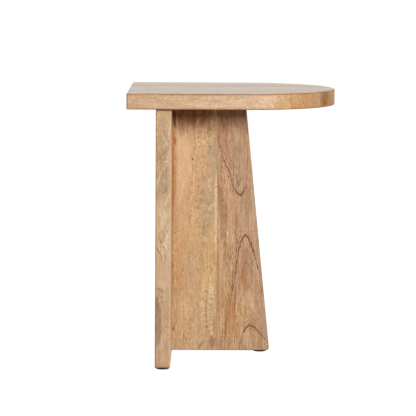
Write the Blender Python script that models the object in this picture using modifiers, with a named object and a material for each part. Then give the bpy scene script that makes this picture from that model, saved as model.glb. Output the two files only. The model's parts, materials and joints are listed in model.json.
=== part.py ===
"""Side table: a top with one square and one round end, on a T-shaped base of two tapered board panels.

Lengths are in metres and +Z is up. The origin is on the floor, under the middle of the top. X runs along the
top from its square end to its round end. The end panel stands across X, under the square end, and the centre
panel runs from it towards the round end. Each panel is glued from boards, and blind dowels join the panels.
"""

import math

import bmesh
import bpy
from mathutils import Matrix, Vector

# Overall
TABLE_HEIGHT = 0.520
TOP_LENGTH = 0.400
TOP_DEPTH = 0.350
TOP_THICKNESS = 0.030

# Base panels
PANEL_THICKNESS = 0.029
END_PANEL_SETBACK = 0.055
END_PANEL_TOP_DEPTH = 0.320
END_PANEL_FOOT_DEPTH = 0.420
CENTRE_PANEL_TOP_LENGTH = 0.143
CENTRE_PANEL_FOOT_LENGTH = 0.192
CENTRE_PANEL_FIRST_BOARD = 0.088

# Boards
TOP_EDGE_STRIP = 0.022
TOP_OUTER_BOARD = 0.051
TOP_MIDDLE_BOARD_COUNT = 3
END_PANEL_BOARD_COUNT = 5
GLUE_GAP = 0.0003

# Rounded corners and edges
TOP_CORNER_RADIUS = 0.004
FOOT_CORNER_RADIUS = 0.006
TOP_EDGE_RADIUS = 0.002
PANEL_EDGE_RADIUS = 0.0025
EDGE_SEGMENTS = 3
CORNER_STEPS = 6
ROUND_END_STEPS = 48

# Dowels
DOWEL_DIAMETER = 0.010
DOWEL_LENGTH = 0.040
DOWEL_CHAMFER = 0.001
DOWEL_CLEARANCE = 0.0003
DOWEL_END_SPACE = 0.001
DOWEL_COVER = 0.011
DOWEL_SIDES = 20
DOWEL_BOARD_SHARES = (0.25, 0.75)
JOINT_DOWEL_COUNT = 5
JOINT_DOWEL_INSET = 0.060

# Foot pads
PAD_THICKNESS = 0.0025
PAD_MARGIN = 0.002
PAD_END_INSET = 0.019
PAD_EDGE_RADIUS = 0.0005
PAD_SIDES = 32

# Extra length of blanks that are sawn to size, and of the cutters past what they cut
SAW_ALLOWANCE = 0.012
CUT_OVERRUN = 0.020

# Points of a drawn outline that lie this close are one point, and faces this level are one face
WELD_DISTANCE = 0.00002
LEVEL_ANGLE = math.radians(1)

# Angle over which an edge counts as an edge, and not as a step of a curve
SHARP_ANGLE = math.radians(30)

# Places that follow from the sizes
HALF_LENGTH = TOP_LENGTH / 2
HALF_DEPTH = TOP_DEPTH / 2
UNDERSIDE_Z = TABLE_HEIGHT - TOP_THICKNESS
PANEL_TOP_Z = UNDERSIDE_Z - GLUE_GAP
FOOT_Z = PAD_THICKNESS + GLUE_GAP
PANEL_HEIGHT = PANEL_TOP_Z - FOOT_Z
END_PANEL_X = -HALF_LENGTH + END_PANEL_SETBACK + PANEL_THICKNESS / 2
JOINT_X = END_PANEL_X + PANEL_THICKNESS / 2

# Colours as they look, red, green and blue out of 255
TOP_COLOURS = (
    (216, 180, 144),
    (203, 162, 118),
    (186, 144, 104),
    (208, 170, 134),
    (196, 156, 118),
    (210, 172, 134),
    (200, 162, 124),
)
END_PANEL_COLOURS = ((197, 160, 124), (188, 148, 110), (200, 164, 128), (186, 146, 110), (194, 156, 120))
CENTRE_PANEL_COLOURS = ((200, 160, 117), (187, 145, 109))
DOWEL_COLOUR = (222, 196, 158)
PAD_COLOUR = (46, 42, 40)
WOOD_ROUGHNESS = 0.5
FELT_ROUGHNESS = 0.95


def linear_colour(colour):
    """Turns a colour as it looks, out of 255, into the linear values that a shader takes."""
    shares = [value / 255 for value in colour]
    linear = [share / 12.92 if share <= 0.04045 else ((share + 0.055) / 1.055) ** 2.4 for share in shares]
    return (*linear, 1.0)


def clear_scene():
    """Empties the scene of the objects that it starts with."""
    for obj in list(bpy.data.objects):
        bpy.data.objects.remove(obj)


def new_collection(name, parent):
    """Adds an empty collection inside another one."""
    collection = bpy.data.collections.new(name)
    parent.children.link(collection)
    return collection


def new_empty(name, collection, location=(0, 0, 0), rotation=(0, 0, 0), parent=None):
    """Adds the frame that a panel's boards are placed in."""
    empty = bpy.data.objects.new(name, None)
    empty.location = location
    empty.rotation_euler = rotation
    empty.parent = parent
    collection.objects.link(empty)
    return empty


def new_object(name, mesh, collection, parent, location=(0, 0, 0), rotation=(0, 0, 0)):
    """Adds one mesh object under its parent."""
    mesh.name = name
    obj = bpy.data.objects.new(name, mesh)
    obj.location = location
    obj.rotation_euler = rotation
    obj.parent = parent
    collection.objects.link(obj)
    return obj


def finish_piece(obj, colour, roughness):
    """Gives a piece its own material, and smooth shading on its round stretches."""
    material = bpy.data.materials.new(obj.name)
    material.use_nodes = True
    shader = material.node_tree.nodes["Principled BSDF"]
    shader.inputs["Base Color"].default_value = linear_colour(colour)
    shader.inputs["Roughness"].default_value = roughness
    shader.inputs["Metallic"].default_value = 0.0
    obj.data.materials.append(material)
    obj.data.shade_smooth()
    obj.data.set_sharp_from_angle(angle=SHARP_ANGLE)


def hide_cutter(obj):
    """Keeps a cutter out of the model."""
    obj.hide_render = True
    obj.display_type = "WIRE"


def box_mesh(name, low, high):
    """A box between its lowest and highest corners."""
    low, high = Vector(low), Vector(high)
    shape = bmesh.new()
    bmesh.ops.create_cube(shape, size=1.0)
    size = high - low
    place = Matrix.Translation((low + high) / 2) @ Matrix.Diagonal((*size, 1.0))
    bmesh.ops.transform(shape, matrix=place, verts=shape.verts)
    mesh = bpy.data.meshes.new(name)
    shape.to_mesh(mesh)
    shape.free()
    return mesh


def cylinder_mesh(name, radius, length, sides):
    """A closed cylinder along Z, centred on its own origin."""
    shape = bmesh.new()
    bmesh.ops.create_cone(shape, cap_ends=True, segments=sides, radius1=radius, radius2=radius, depth=length)
    mesh = bpy.data.meshes.new(name)
    shape.to_mesh(mesh)
    shape.free()
    return mesh


def fillet(before, corner, after, radius):
    """Points of the arc that rounds one corner of an outline."""
    to_before = (before - corner).normalized()
    to_after = (after - corner).normalized()
    half_angle = to_before.angle(to_after) / 2
    centre = corner + (to_before + to_after).normalized() * (radius / math.sin(half_angle))
    start = corner + to_before * (radius / math.tan(half_angle)) - centre
    sweep = math.pi - 2 * half_angle
    if to_after.cross(to_before) < 0:
        sweep = -sweep
    turns = [Matrix.Rotation(sweep * step / CORNER_STEPS, 2) for step in range(CORNER_STEPS + 1)]
    return [centre + turn @ start for turn in turns]


def rounded_outline(corners, radii):
    """The outline through these corners, each rounded to its radius, or left sharp where that is zero."""
    points = []
    corners = [Vector(corner) for corner in corners]
    for index, (corner, radius) in enumerate(zip(corners, radii)):
        before = corners[index - 1]
        after = corners[(index + 1) % len(corners)]
        points += fillet(before, corner, after, radius) if radius else [corner]
    return points


def slab_mesh(name, outline, thickness):
    """A flat slab with this outline, centred on its own thickness."""
    curve = bpy.data.curves.new(name, "CURVE")
    curve.dimensions = "2D"
    curve.fill_mode = "BOTH"
    curve.extrude = thickness / 2
    spline = curve.splines.new("POLY")
    spline.points.add(len(outline) - 1)
    for point, place in zip(spline.points, outline):
        point.co = (*place, 0.0, 1.0)
    spline.use_cyclic_u = True
    drawn = bpy.data.objects.new(name, curve)
    bpy.context.scene.collection.objects.link(drawn)
    graph = bpy.context.evaluated_depsgraph_get()
    mesh = bpy.data.meshes.new_from_object(drawn.evaluated_get(graph))
    bpy.data.objects.remove(drawn)
    shape = bmesh.new()
    shape.from_mesh(mesh)
    bmesh.ops.remove_doubles(shape, verts=shape.verts, dist=WELD_DISTANCE)
    bmesh.ops.dissolve_limit(shape, angle_limit=LEVEL_ANGLE, verts=shape.verts, edges=shape.edges)
    bmesh.ops.recalc_face_normals(shape, faces=shape.faces)
    shape.to_mesh(mesh)
    shape.free()
    return mesh


def round_edges(obj, radius, segments):
    """Rounds every sharp edge of a piece."""
    bevel = obj.modifiers.new("rounded edges", "BEVEL")
    bevel.width = radius
    bevel.segments = segments
    bevel.limit_method = "ANGLE"
    bevel.angle_limit = SHARP_ANGLE


def saw_board(obj, edge_radius, saw_box, holes, cutters):
    """Turns a blank panel into a board: rounds its edges, saws it to the box and drills its holes."""
    round_edges(obj, edge_radius, EDGE_SEGMENTS)
    saw = new_object("saw_" + obj.name, box_mesh("saw_" + obj.name, *saw_box), cutters, obj.parent)
    hide_cutter(saw)
    sawn = obj.modifiers.new("sawn from the panel", "BOOLEAN")
    sawn.operation = "INTERSECT"
    sawn.object = saw
    for group in holes:
        drilled = obj.modifiers.new("drilled for " + group.name, "BOOLEAN")
        drilled.operation = "DIFFERENCE"
        drilled.operand_type = "COLLECTION"
        drilled.collection = group


def board_spans(joints, low, high):
    """Where each board lies between the joints, each drawn back half a gap from its joint."""
    edges = [low, *joints, high]
    spans = []
    for index, (start, end) in enumerate(zip(edges, edges[1:])):
        start += GLUE_GAP / 2 if index else -CUT_OVERRUN
        end += -GLUE_GAP / 2 if index < len(joints) else CUT_OVERRUN
        spans.append((start, end))
    return spans


def even_joints(depth, count):
    """The joints of a panel glued from equal boards, centred on zero."""
    return [depth * (index / count - 0.5) for index in range(1, count)]


def top_joints():
    """The joints of the top along Y: a strip at each edge, a board inside each, and equal middle boards."""
    strip = HALF_DEPTH - TOP_EDGE_STRIP
    outer = strip - TOP_OUTER_BOARD
    return [-strip, -outer, *even_joints(2 * outer, TOP_MIDDLE_BOARD_COUNT), outer, strip]


def top_outline():
    """The top in plan: square at one end and half round at the other."""
    bend_x = HALF_LENGTH - HALF_DEPTH
    angles = [math.pi * (step / ROUND_END_STEPS - 0.5) for step in range(ROUND_END_STEPS + 1)]
    round_end = [Vector((bend_x + HALF_DEPTH * math.cos(a), HALF_DEPTH * math.sin(a))) for a in angles]
    square_end = [Vector((-HALF_LENGTH, HALF_DEPTH)), Vector((-HALF_LENGTH, -HALF_DEPTH))]
    rear = fillet(round_end[-1], square_end[0], square_end[1], TOP_CORNER_RADIUS)
    front = fillet(square_end[0], square_end[1], round_end[0], TOP_CORNER_RADIUS)
    return round_end + rear + front


def end_panel_outline():
    """The end panel seen along X. Its blank reaches past the top joint, and heights count from the feet."""
    half_top, half_foot = END_PANEL_TOP_DEPTH / 2, END_PANEL_FOOT_DEPTH / 2
    blank_height = PANEL_HEIGHT + SAW_ALLOWANCE
    half_blank = half_foot + (half_top - half_foot) * blank_height / PANEL_HEIGHT
    corners = ((half_blank, blank_height), (-half_blank, blank_height), (-half_foot, 0), (half_foot, 0))
    return rounded_outline(corners, (0, 0, FOOT_CORNER_RADIUS, FOOT_CORNER_RADIUS))


def centre_panel_outline():
    """The centre panel seen along Y. Its blank reaches past both joints, and X counts from the end panel."""
    blank_height = PANEL_HEIGHT + SAW_ALLOWANCE
    taper = CENTRE_PANEL_TOP_LENGTH - CENTRE_PANEL_FOOT_LENGTH
    blank_length = CENTRE_PANEL_FOOT_LENGTH + taper * blank_height / PANEL_HEIGHT
    corners = (
        (blank_length, blank_height),
        (-SAW_ALLOWANCE, blank_height),
        (-SAW_ALLOWANCE, 0),
        (CENTRE_PANEL_FOOT_LENGTH, 0),
    )
    return rounded_outline(corners, (0, 0, 0, FOOT_CORNER_RADIUS))


def end_panel_dowel_places():
    """Where the end panel's dowels stand along Y: one in the middle of each board's top edge."""
    half_top = END_PANEL_TOP_DEPTH / 2
    joints = even_joints(END_PANEL_FOOT_DEPTH, END_PANEL_BOARD_COUNT)
    edges = [-half_top, *[max(-half_top, min(half_top, joint)) for joint in joints], half_top]
    return [(start + end) / 2 for start, end in zip(edges, edges[1:])]


def centre_panel_dowel_places():
    """Where the centre panel's dowels stand along X, at the same shares of each board's top edge."""
    edges = (0, CENTRE_PANEL_FIRST_BOARD, CENTRE_PANEL_TOP_LENGTH)
    return [
        JOINT_X + start + (end - start) * share
        for start, end in zip(edges, edges[1:])
        for share in DOWEL_BOARD_SHARES
    ]


def joint_dowel_places():
    """Heights of the dowels that join the two panels."""
    low, high = FOOT_Z + JOINT_DOWEL_INSET, PANEL_TOP_Z - JOINT_DOWEL_INSET
    return [low + (high - low) * index / (JOINT_DOWEL_COUNT - 1) for index in range(JOINT_DOWEL_COUNT)]


def add_dowel(name, place, rotation, parts, holes, root):
    """Adds a chamfered dowel, and the longer and wider cutter that drills its hole in both pieces."""
    dowel_mesh = cylinder_mesh(name, DOWEL_DIAMETER / 2, DOWEL_LENGTH, DOWEL_SIDES)
    dowel = new_object(name, dowel_mesh, parts, root, place, rotation)
    round_edges(dowel, DOWEL_CHAMFER, 1)
    finish_piece(dowel, DOWEL_COLOUR, WOOD_ROUGHNESS)
    hole_radius = DOWEL_DIAMETER / 2 + DOWEL_CLEARANCE
    hole_length = DOWEL_LENGTH + 2 * DOWEL_END_SPACE
    hole_mesh = cylinder_mesh("hole_" + name, hole_radius, hole_length, DOWEL_SIDES)
    hide_cutter(new_object("hole_" + name, hole_mesh, holes, root, place, rotation))


def add_dowels(parts, cutters, root):
    """Adds the dowels of the three joints, and returns the groups of their holes."""
    top_z = UNDERSIDE_Z + TOP_THICKNESS - DOWEL_COVER - DOWEL_END_SPACE - DOWEL_LENGTH / 2
    joint_x = JOINT_X - PANEL_THICKNESS + DOWEL_COVER + DOWEL_END_SPACE + DOWEL_LENGTH / 2
    end_holes = new_collection("end_panel_top_holes", cutters)
    upright = (0, 0, 0)
    for number, y in enumerate(end_panel_dowel_places(), 1):
        add_dowel(f"end_panel_top_dowel_{number}", (END_PANEL_X, y, top_z), upright, parts, end_holes, root)
    centre_holes = new_collection("centre_panel_top_holes", cutters)
    for number, x in enumerate(centre_panel_dowel_places(), 1):
        add_dowel(f"centre_panel_top_dowel_{number}", (x, 0, top_z), upright, parts, centre_holes, root)
    joint_holes = new_collection("panel_joint_holes", cutters)
    along_x = (0, math.radians(90), 0)
    for number, z in enumerate(joint_dowel_places(), 1):
        add_dowel(f"panel_joint_dowel_{number}", (joint_x, 0, z), along_x, parts, joint_holes, root)
    return end_holes, centre_holes, joint_holes


def add_top(parts, cutters, root, end_holes, centre_holes):
    """Adds the boards of the top, from front to rear."""
    panel = new_empty("top", parts, location=(0, 0, UNDERSIDE_Z + TOP_THICKNESS / 2), parent=root)
    blank = slab_mesh("top_blank", top_outline(), TOP_THICKNESS)
    reach = HALF_LENGTH + CUT_OVERRUN
    rise = TOP_THICKNESS / 2 + CUT_OVERRUN
    spans = board_spans(top_joints(), -HALF_DEPTH, HALF_DEPTH)
    for number, (start, end) in enumerate(spans, 1):
        board = new_object(f"top_board_{number}", blank.copy(), parts, panel)
        saw_box = ((-reach, start, -rise), (reach, end, rise))
        saw_board(board, TOP_EDGE_RADIUS, saw_box, (end_holes, centre_holes), cutters)
        finish_piece(board, TOP_COLOURS[(number - 1) % len(TOP_COLOURS)], WOOD_ROUGHNESS)


def add_end_panel(parts, cutters, root, end_holes, joint_holes):
    """Adds the upright boards of the end panel, from front to rear. Its local X is the table's Y."""
    turned = (math.radians(90), 0, math.radians(90))
    panel = new_empty("end_panel", parts, (END_PANEL_X, 0, FOOT_Z), turned, root)
    blank = slab_mesh("end_panel_blank", end_panel_outline(), PANEL_THICKNESS)
    rise = PANEL_THICKNESS / 2 + CUT_OVERRUN
    half_foot = END_PANEL_FOOT_DEPTH / 2
    spans = board_spans(even_joints(END_PANEL_FOOT_DEPTH, END_PANEL_BOARD_COUNT), -half_foot, half_foot)
    for number, (start, end) in enumerate(spans, 1):
        board = new_object(f"end_panel_board_{number}", blank.copy(), parts, panel)
        saw_box = ((start, -CUT_OVERRUN, -rise), (end, PANEL_HEIGHT, rise))
        saw_board(board, PANEL_EDGE_RADIUS, saw_box, (end_holes, joint_holes), cutters)
        finish_piece(board, END_PANEL_COLOURS[(number - 1) % len(END_PANEL_COLOURS)], WOOD_ROUGHNESS)


def add_centre_panel(parts, cutters, root, centre_holes, joint_holes):
    """Adds the two upright boards of the centre panel. The first stops a glue gap short of the end panel."""
    panel = new_empty("centre_panel", parts, (JOINT_X, 0, FOOT_Z), (math.radians(90), 0, 0), root)
    blank = slab_mesh("centre_panel_blank", centre_panel_outline(), PANEL_THICKNESS)
    rise = PANEL_THICKNESS / 2 + CUT_OVERRUN
    spans = board_spans((CENTRE_PANEL_FIRST_BOARD,), 0, CENTRE_PANEL_FOOT_LENGTH)
    for number, (start, end) in enumerate(spans, 1):
        board = new_object(f"centre_panel_board_{number}", blank.copy(), parts, panel)
        saw_box = ((max(start, GLUE_GAP), -CUT_OVERRUN, -rise), (end, PANEL_HEIGHT, rise))
        saw_board(board, PANEL_EDGE_RADIUS, saw_box, (centre_holes, joint_holes), cutters)
        finish_piece(board, CENTRE_PANEL_COLOURS[(number - 1) % len(CENTRE_PANEL_COLOURS)], WOOD_ROUGHNESS)


def add_foot_pads(parts, root):
    """Adds the round felt pads under the two ends of the end panel and the outer end of the centre panel."""
    end_panel_reach = END_PANEL_FOOT_DEPTH / 2 - PAD_END_INSET
    places = {
        "front_foot_pad": (END_PANEL_X, -end_panel_reach),
        "rear_foot_pad": (END_PANEL_X, end_panel_reach),
        "centre_foot_pad": (JOINT_X + CENTRE_PANEL_FOOT_LENGTH - PAD_END_INSET, 0),
    }
    for name, (x, y) in places.items():
        mesh = cylinder_mesh(name, PANEL_THICKNESS / 2 - PAD_MARGIN, PAD_THICKNESS, PAD_SIDES)
        pad = new_object(name, mesh, parts, root, (x, y, PAD_THICKNESS / 2))
        round_edges(pad, PAD_EDGE_RADIUS, 1)
        finish_piece(pad, PAD_COLOUR, FELT_ROUGHNESS)


def main():
    clear_scene()
    scene_collection = bpy.context.scene.collection
    parts = new_collection("side_table", scene_collection)
    cutters = new_collection("cutters", scene_collection)
    root = new_empty("side_table", parts)
    end_holes, centre_holes, joint_holes = add_dowels(parts, cutters, root)
    add_top(parts, cutters, root, end_holes, centre_holes)
    add_end_panel(parts, cutters, root, end_holes, joint_holes)
    add_centre_panel(parts, cutters, root, centre_holes, joint_holes)
    add_foot_pads(parts, root)


main()
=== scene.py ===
"""A side table with a board top and a T-shaped board base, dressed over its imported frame.

Lengths are in metres and +Z is up, in the frame's own space: X runs along the top to its round end, and Y to
the rear. Each board is solid wood, with its rings, pores and patches worked out in the wood's own directions:
along the grain, across the board and through it.
"""

import json
import math
from typing import NamedTuple

import bmesh
import bpy
from bpy.props import FloatProperty, FloatVectorProperty, IntProperty, PointerProperty
from bpy.types import Operator, Panel, PropertyGroup
from mathutils import Matrix, Vector, noise

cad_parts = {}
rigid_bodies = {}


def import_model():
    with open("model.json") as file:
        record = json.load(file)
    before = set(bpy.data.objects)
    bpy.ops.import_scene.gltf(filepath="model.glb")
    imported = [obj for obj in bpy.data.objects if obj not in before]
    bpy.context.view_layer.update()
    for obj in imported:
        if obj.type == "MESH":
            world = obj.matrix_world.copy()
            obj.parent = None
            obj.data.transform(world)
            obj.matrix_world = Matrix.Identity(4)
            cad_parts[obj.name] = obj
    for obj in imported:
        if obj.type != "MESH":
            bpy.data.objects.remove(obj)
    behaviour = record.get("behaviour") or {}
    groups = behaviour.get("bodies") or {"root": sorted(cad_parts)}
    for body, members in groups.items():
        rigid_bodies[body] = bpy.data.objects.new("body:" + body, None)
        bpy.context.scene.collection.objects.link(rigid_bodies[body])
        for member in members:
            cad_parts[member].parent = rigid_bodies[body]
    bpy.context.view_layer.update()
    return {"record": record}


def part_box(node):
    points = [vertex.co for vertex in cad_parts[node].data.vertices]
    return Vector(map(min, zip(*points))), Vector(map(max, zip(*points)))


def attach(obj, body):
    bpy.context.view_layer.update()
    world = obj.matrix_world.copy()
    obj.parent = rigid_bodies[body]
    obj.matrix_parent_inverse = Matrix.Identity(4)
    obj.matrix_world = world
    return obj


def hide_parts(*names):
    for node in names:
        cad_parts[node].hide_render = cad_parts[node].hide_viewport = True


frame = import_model()

bl_info = {
    "name": "Board Side Table",
    "version": (1, 0, 0),
    "blender": (4, 5, 0),
    "location": "3D View > Sidebar > Side Table",
    "description": "Dresses the frame of a side table with glued boards, fluted dowels and felt pads",
    "category": "Object",
}

BODY = "root"

# Nodes of the frame, each group in the order in which its pieces stand
TOP_BOARDS = [f"top_board_{number}" for number in range(1, 8)]
END_BOARDS = [f"end_panel_board_{number}" for number in range(1, 6)]
CENTRE_BOARDS = [f"centre_panel_board_{number}" for number in range(1, 3)]
HEART_BOARD = CENTRE_BOARDS[1]
END_DOWELS = [f"end_panel_top_dowel_{number}" for number in range(1, 6)]
CENTRE_DOWELS = [f"centre_panel_top_dowel_{number}" for number in range(1, 5)]
JOINT_DOWELS = [f"panel_joint_dowel_{number}" for number in range(1, 6)]
DOWELS = END_DOWELS + CENTRE_DOWELS + JOINT_DOWELS
FOOT_PADS = ["front_foot_pad", "rear_foot_pad", "centre_foot_pad"]

# Numbers of the axes, and the directions that run along the grain, across the board and through it
X_AXIS = 0
Y_AXIS = 1
ALONG_TABLE = ((1, 0, 0), (0, 1, 0), (0, 0, 1))
UPRIGHT_END_PANEL = ((0, 0, 1), (0, 1, 0), (-1, 0, 0))
UPRIGHT_CENTRE_PANEL = ((0, 0, 1), (1, 0, 0), (0, 1, 0))

# Spare length of a sawn blank past its joints, and reach of the saw past the outside of a panel
SAW_ALLOWANCE = 0.012
SAW_REACH = 0.5
WELD_DISTANCE = 0.00001
SHARP_ANGLE = math.radians(30)
FACE_SIZE_WEIGHT = 100
HOLE_SIDES = 32

# Points round each flute of a dowel, and places along it where its section stands
FLUTE_POINTS = 6.0
DOWEL_STATIONS = 4

# How much more the green and blue of wood change than its red, where it is paler or deeper
PALENESS = (1.0, 1.4, 1.9)

# The end panel's depth under the top and at the floor, and the height that it tapers over
END_PANEL_TOP_DEPTH = 0.320
END_PANEL_FOOT_DEPTH = 0.420
END_PANEL_HEIGHT = 0.490


# The curve from a screen's values to light: a straight line up to its knee, and a power above it
SCREEN_TOP = 255
SCREEN_KNEE = 0.04045
SCREEN_SLOPE = 12.92
SCREEN_SHIFT = 0.055
SCREEN_POWER = 2.4


def light_of(value):
    """The light that one channel of a screen gives at this value."""
    share = value / SCREEN_TOP
    if share <= SCREEN_KNEE:
        return share / SCREEN_SLOPE
    return ((share + SCREEN_SHIFT) / (1 + SCREEN_SHIFT)) ** SCREEN_POWER


def seen(red, green, blue):
    """The linear colour of one that looks like this on a screen."""
    return tuple(light_of(value) for value in (red, green, blue))


def length_property(name, description, default):
    """A length that a user may change, in metres."""
    return FloatProperty(
        name=name, description=description, default=default, min=0.0, unit="LENGTH", precision=4
    )


def count_property(name, description, default, least):
    """A whole number that a user may change."""
    return IntProperty(name=name, description=description, default=default, min=least)


def colour_property(name, description, default):
    """A colour that a user may change."""
    return FloatVectorProperty(
        name=name, description=description, default=default, size=3, min=0.0, max=2.0, subtype="COLOR"
    )


def power_property(name, description, default):
    """The power of a lamp that a user may change, in watts."""
    return FloatProperty(name=name, description=description, default=default, min=0.0, unit="POWER")


class SIDETABLE_PG_sizes(PropertyGroup):
    """Sizes of the parts that the frame's boxes don't give."""

    top_edge_radius: length_property("Top edge radius", "Rounding of the top's edges", 0.002)
    top_corner_radius: length_property("Top corner radius", "Rounding of the top's corners in plan", 0.004)
    panel_edge_radius: length_property("Panel edge radius", "Rounding of the panels' edges", 0.0025)
    foot_corner_radius: length_property("Foot corner radius", "Rounding of the panels' lower corners", 0.006)
    end_panel_top_depth: length_property(
        "End panel depth at top", "From front to rear under the top", END_PANEL_TOP_DEPTH
    )
    end_panel_foot_depth: length_property(
        "End panel depth at foot", "From front to rear at the floor", END_PANEL_FOOT_DEPTH
    )
    centre_panel_top_length: length_property(
        "Centre panel length at top", "Along the top's underside", 0.143
    )
    centre_panel_foot_length: length_property("Centre panel length at foot", "Along the floor", 0.192)
    edge_steps: count_property("Edge steps", "Steps round each edge", 6, 1)
    corner_steps: count_property("Corner steps", "Steps round each corner", 10, 2)
    round_end_steps: count_property("Round end steps", "Steps round the end", 128, 16)
    dowel_chamfer: length_property("Dowel chamfer", "Bevel at each end of a dowel", 0.001)
    dowel_flutes: count_property("Dowel flutes", "Glue grooves round a dowel", 16, 6)
    flute_depth: length_property("Flute depth", "Depth of a dowel's glue grooves", 0.0004)
    hole_clearance: length_property("Hole clearance", "Room round a dowel in its hole", 0.0003)
    hole_end_space: length_property("Hole end space", "Room for glue past each end of a dowel", 0.001)
    pad_edge_radius: length_property("Pad edge radius", "Rounding of a felt pad's edges", 0.0007)
    pad_fuzz: length_property("Pad fuzz", "How far the felt's surface wanders in and out", 0.00012)


class SIDETABLE_PG_colours(PropertyGroup):
    """Colours of the wood, the felt and the floor."""

    straw: colour_property("Straw", "Pale wood of the top's front strip", seen(224, 188, 152))
    tan: colour_property("Tan", "Middle brown of the pale boards", seen(203, 166, 127))
    honey: colour_property("Honey", "Golden wood", seen(213, 174, 127))
    blush: colour_property("Blush", "Pinkish wood", seen(216, 177, 138))
    # Ember also paints shade: a band just under the top on the centre panel, and the edge shade on the top's
    # rim
    ember: colour_property("Ember", "Orange brown streaks", seen(196, 128, 76))
    sage: colour_property("Sage", "Greyish patches", seen(194, 166, 134))
    cream: colour_property("Cream", "Palest strips and sanded edges", seen(230, 203, 165))
    # Painted highlight: a pale colour where the light catches the bend of the front strip
    pearl: colour_property("Pearl", "Where light catches the bend of the front strip", seen(236, 211, 188))
    bronze: colour_property("Bronze", "Golden brown wood of the round end", seen(197, 152, 105))
    rust: colour_property("Rust", "The brightest orange streak", seen(178, 100, 48))
    # Amber paints edge shade on the rounded edges of the top's front boards, and is also a darker patch of
    # the round end
    amber: colour_property("Amber", "Oiled edges of the top", seen(136, 90, 50))
    gold: colour_property("Gold", "Yellowest wood, beside the joint", seen(216, 180, 124))
    salmon: colour_property("Salmon", "Smooth pinkish orange zones", seen(224, 181, 148))
    heartwood: colour_property("Heartwood", "Pinkish brown heartwood", seen(212, 168, 130))
    # Rosewood also paints shade just under the top on the centre panel
    rosewood: colour_property("Dark heartwood", "Darker zones of the heartwood", seen(177, 137, 110))
    # Ring brown also paints shade just under the top on the centre panel, and in its corner against the end
    # panel
    ring_brown: colour_property("Ring brown", "Thin dark lines of the growth rings", seen(112, 60, 40))
    pore_brown: colour_property("Pore brown", "A pin knot in the pale board", seen(128, 86, 56))
    # Painted sheen: a cooler, greyer tint on the upper face of the table top
    top_painted_sheen: colour_property(
        "Top haze", "What the lacquer's haze does to the table top's colour", (0.96, 1.0, 1.08)
    )
    end_tint: colour_property("End grain tint", "What end grain takes from the colour", (0.66, 0.56, 0.46))
    dowel: colour_property("Dowel", "Plain pale hardwood", seen(222, 196, 158))
    felt: colour_property("Felt", "Dark felt", seen(50, 45, 42))
    floor: colour_property("Floor", "Pale studio floor", seen(105, 105, 105))


class SIDETABLE_PG_studio(PropertyGroup):
    """The camera and the lamps."""

    lens: FloatProperty(name="Lens", description="Focal length", default=190.91, min=1, unit="CAMERA")
    key_power: power_property("Key lamp", "Low lamp at the front right", 75)
    left_power: power_property("Left lamp", "Broad lamp at the left", 42)
    right_power: power_property("Right lamp", "Broad lamp at the right", 14)
    rear_power: power_property("Rear lamps", "Each of two lamps behind", 30)
    top_power: power_property("Top lamp", "Soft lamp overhead", 7)
    room_level: FloatProperty(
        name="Room light", description="Even light from all round", default=0.035, min=0
    )
    floor_glow: FloatProperty(
        name="Floor glow", description="White added to the floor by the table", default=0.965
    )


class SIDETABLE_PG_settings(PropertyGroup):
    """All that a user may change."""

    sizes: PointerProperty(type=SIDETABLE_PG_sizes)
    colours: PointerProperty(type=SIDETABLE_PG_colours)
    studio: PointerProperty(type=SIDETABLE_PG_studio)


class Wire:
    """An output of a node. Sums on it add Math nodes."""

    def __init__(self, tree, socket):
        self.tree = tree
        self.socket = socket

    def __add__(self, other):
        return self.tree.maths("ADD", self, other)

    def __radd__(self, other):
        return self.tree.maths("ADD", other, self)

    def __sub__(self, other):
        return self.tree.maths("SUBTRACT", self, other)

    def __rsub__(self, other):
        return self.tree.maths("SUBTRACT", other, self)

    def __mul__(self, other):
        return self.tree.maths("MULTIPLY", self, other)

    def __truediv__(self, other):
        return self.tree.maths("DIVIDE", self, other)

    def __pow__(self, other):
        return self.tree.maths("POWER", self, other)

    def __neg__(self):
        return self.tree.maths("MULTIPLY", self, -1.0)

    def __abs__(self):
        return self.tree.maths("ABSOLUTE", self)


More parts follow.
